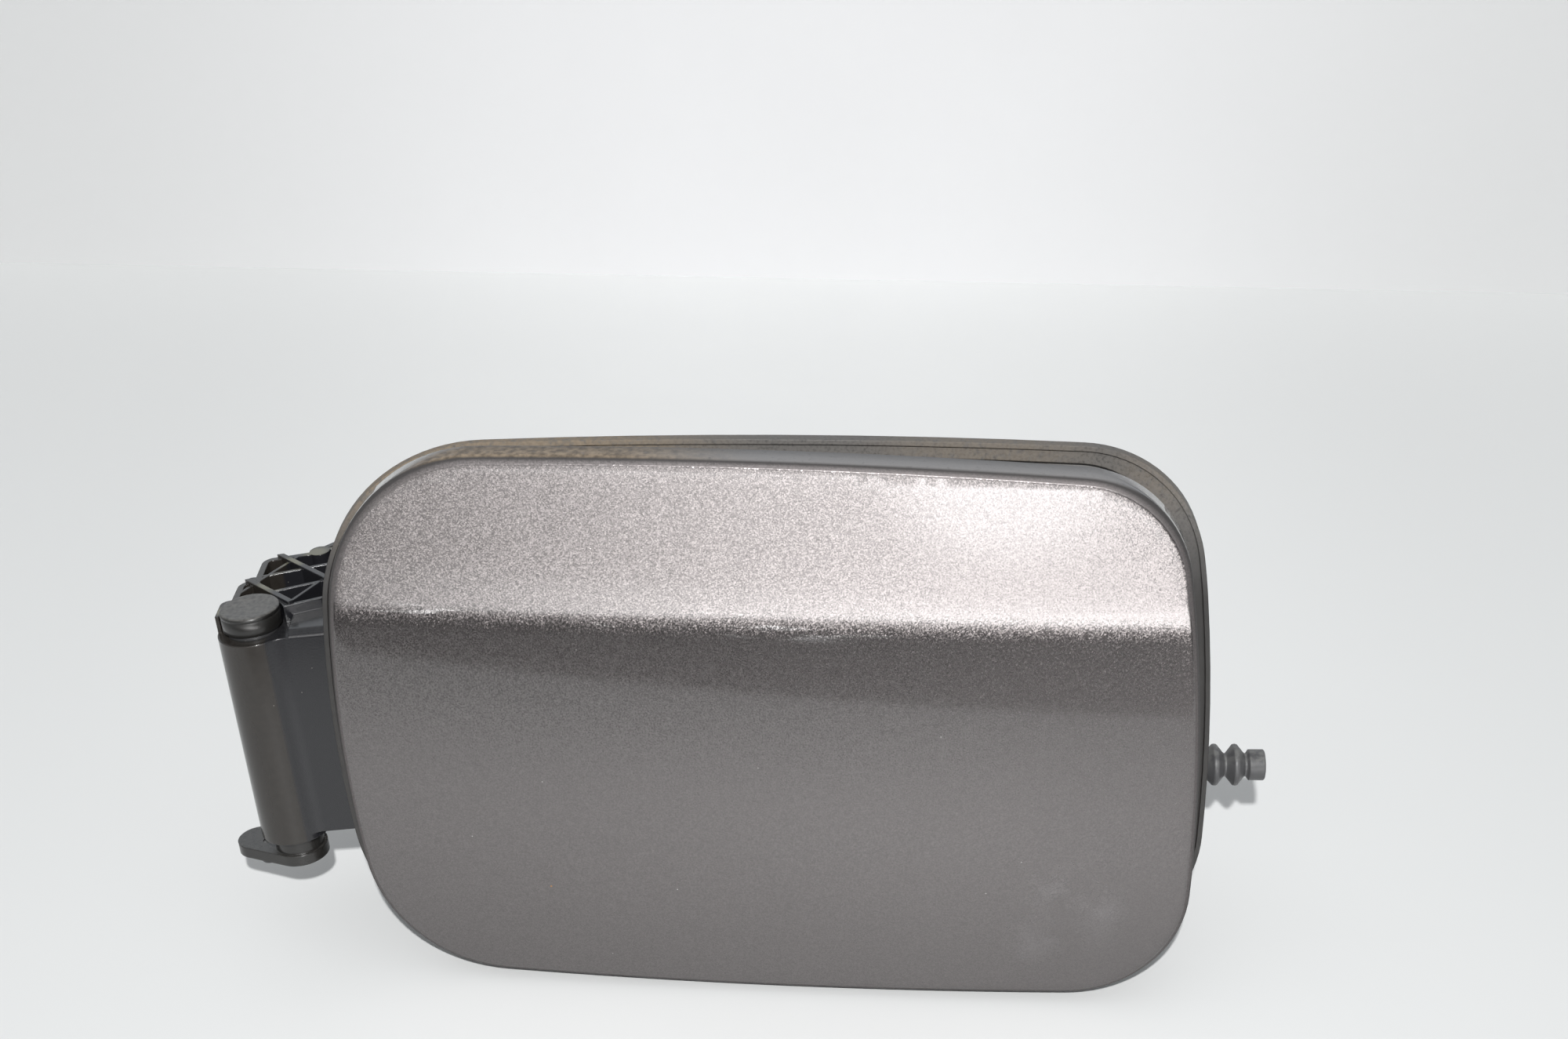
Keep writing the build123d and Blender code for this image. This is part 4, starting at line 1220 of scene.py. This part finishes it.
class Finishes:
    """All finishes of the part, made once."""

    def __init__(self) -> None:
        """Makes the materials of the record's slots, and those of single nodes."""
        slots = {
            "grey_paint": MetallicPaint(),
            "pot_plastic": MouldedPlastic(
                "pot_plastic_grained", (0.019, 0.0165, 0.014), (0.029, 0.0252, 0.0218), 0.16,
                dust=0.05, dirt=True,
            ),
            "carrier_plastic": MouldedPlastic(
                "carrier_plastic_grained", (0.022, 0.022, 0.023), (0.034, 0.034, 0.035), 0.36,
            ),
            # On the cap the grey film on up-facing faces makes its top lighter than its sides.
            "cap_plastic": MouldedPlastic(
                "cap_plastic_matt", (0.01, 0.0095, 0.0088), (0.016, 0.0152, 0.014), 0.25, dust=0.42,
            ),
            "seal_rubber": LipRubber(
                "seal_rubber_dust_and_painted_light", (0.024, 0.023, 0.022), (0.042, 0.04, 0.038), 0.45,
                (0.14, 0.132, 0.12), 0.6, dirt=True,
            ),
            "gaiter_rubber": LipRubber(
                "gaiter_rubber_black", (0.062, 0.062, 0.064), (0.092, 0.092, 0.095), 0.4,
                (0.2, 0.2, 0.19), 0.55,
            ),
            "bush_plastic": MouldedPlastic(
                "bush_plastic_dark", (0.025, 0.025, 0.026), (0.04, 0.04, 0.041), 0.4, dust=0.25,
            ),
            "steel": DrawnSteel(),
        }
        lever = MouldedPlastic(
            "lever_plastic_satin", (0.014, 0.0132, 0.0122), (0.022, 0.021, 0.0195), 0.22, dust=0.1,
        )
        self.by_slot = {slot: finish.make() for slot, finish in slots.items()}
        self.by_node = {"crank_lever": lever.make()}


def dress(piece: Piece, material: Material) -> None:
    """Gives a piece its finish on every slot."""
    if not piece.data.materials:
        piece.data.materials.append(material)
    for index in range(len(piece.data.materials)):
        piece.data.materials[index] = material


def seat(piece: Piece, body: Body, slot: str, *nodes: str) -> None:
    """Makes a piece ride on its body in place of CAD nodes.

    Args:
        piece: The finished piece.
        body: Body that it moves with.
        slot: Material slot of the record; not used.
        nodes: Nodes that it stands for.
    """
    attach(piece, body.value)
    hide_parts(*nodes)
    LOG.info("%s rides on %s for %s", piece.name, body.value, ", ".join(nodes))


def dress_nodes(finishes: Finishes) -> None:
    """Gives every carried-over node the finish of its slot."""
    slots = {part["node"]: part["material_slot"] for part in frame["record"]["subparts"]}
    for name, node in frame["nodes"].items():
        dress(node, finishes.by_node.get(name, finishes.by_slot[slots[name]]))
        LOG.info("%s wears %s", name, slots[name])


def main() -> None:
    """Builds the pieces, dresses them and sets up the studio."""
    logging.basicConfig(level=logging.INFO, format="%(name)s: %(message)s")
    bpy.context.scene.view_settings.view_transform = "Standard"
    finishes = Finishes()
    dress_nodes(finishes)
    slots = finishes.by_slot
    skin = PaintedSkin().build(DoorOutline())
    dress(skin, slots["grey_paint"])
    seat(skin, Body.DOOR, "grey_paint", "door_skin")
    seat(LockGaiter().build(slots["gaiter_rubber"]), Body.POT, "gaiter_rubber", "lock_gaiter")
    seat(HingeSpring().build(slots["steel"]), Body.POT, "steel", "hinge_spring")
    cap = HingeCap().build()
    dress(cap, slots["cap_plastic"])
    seat(cap, Body.DOOR, "cap_plastic", "pin_cap")
    Studio().build()


if __name__ == "__main__":
    main()
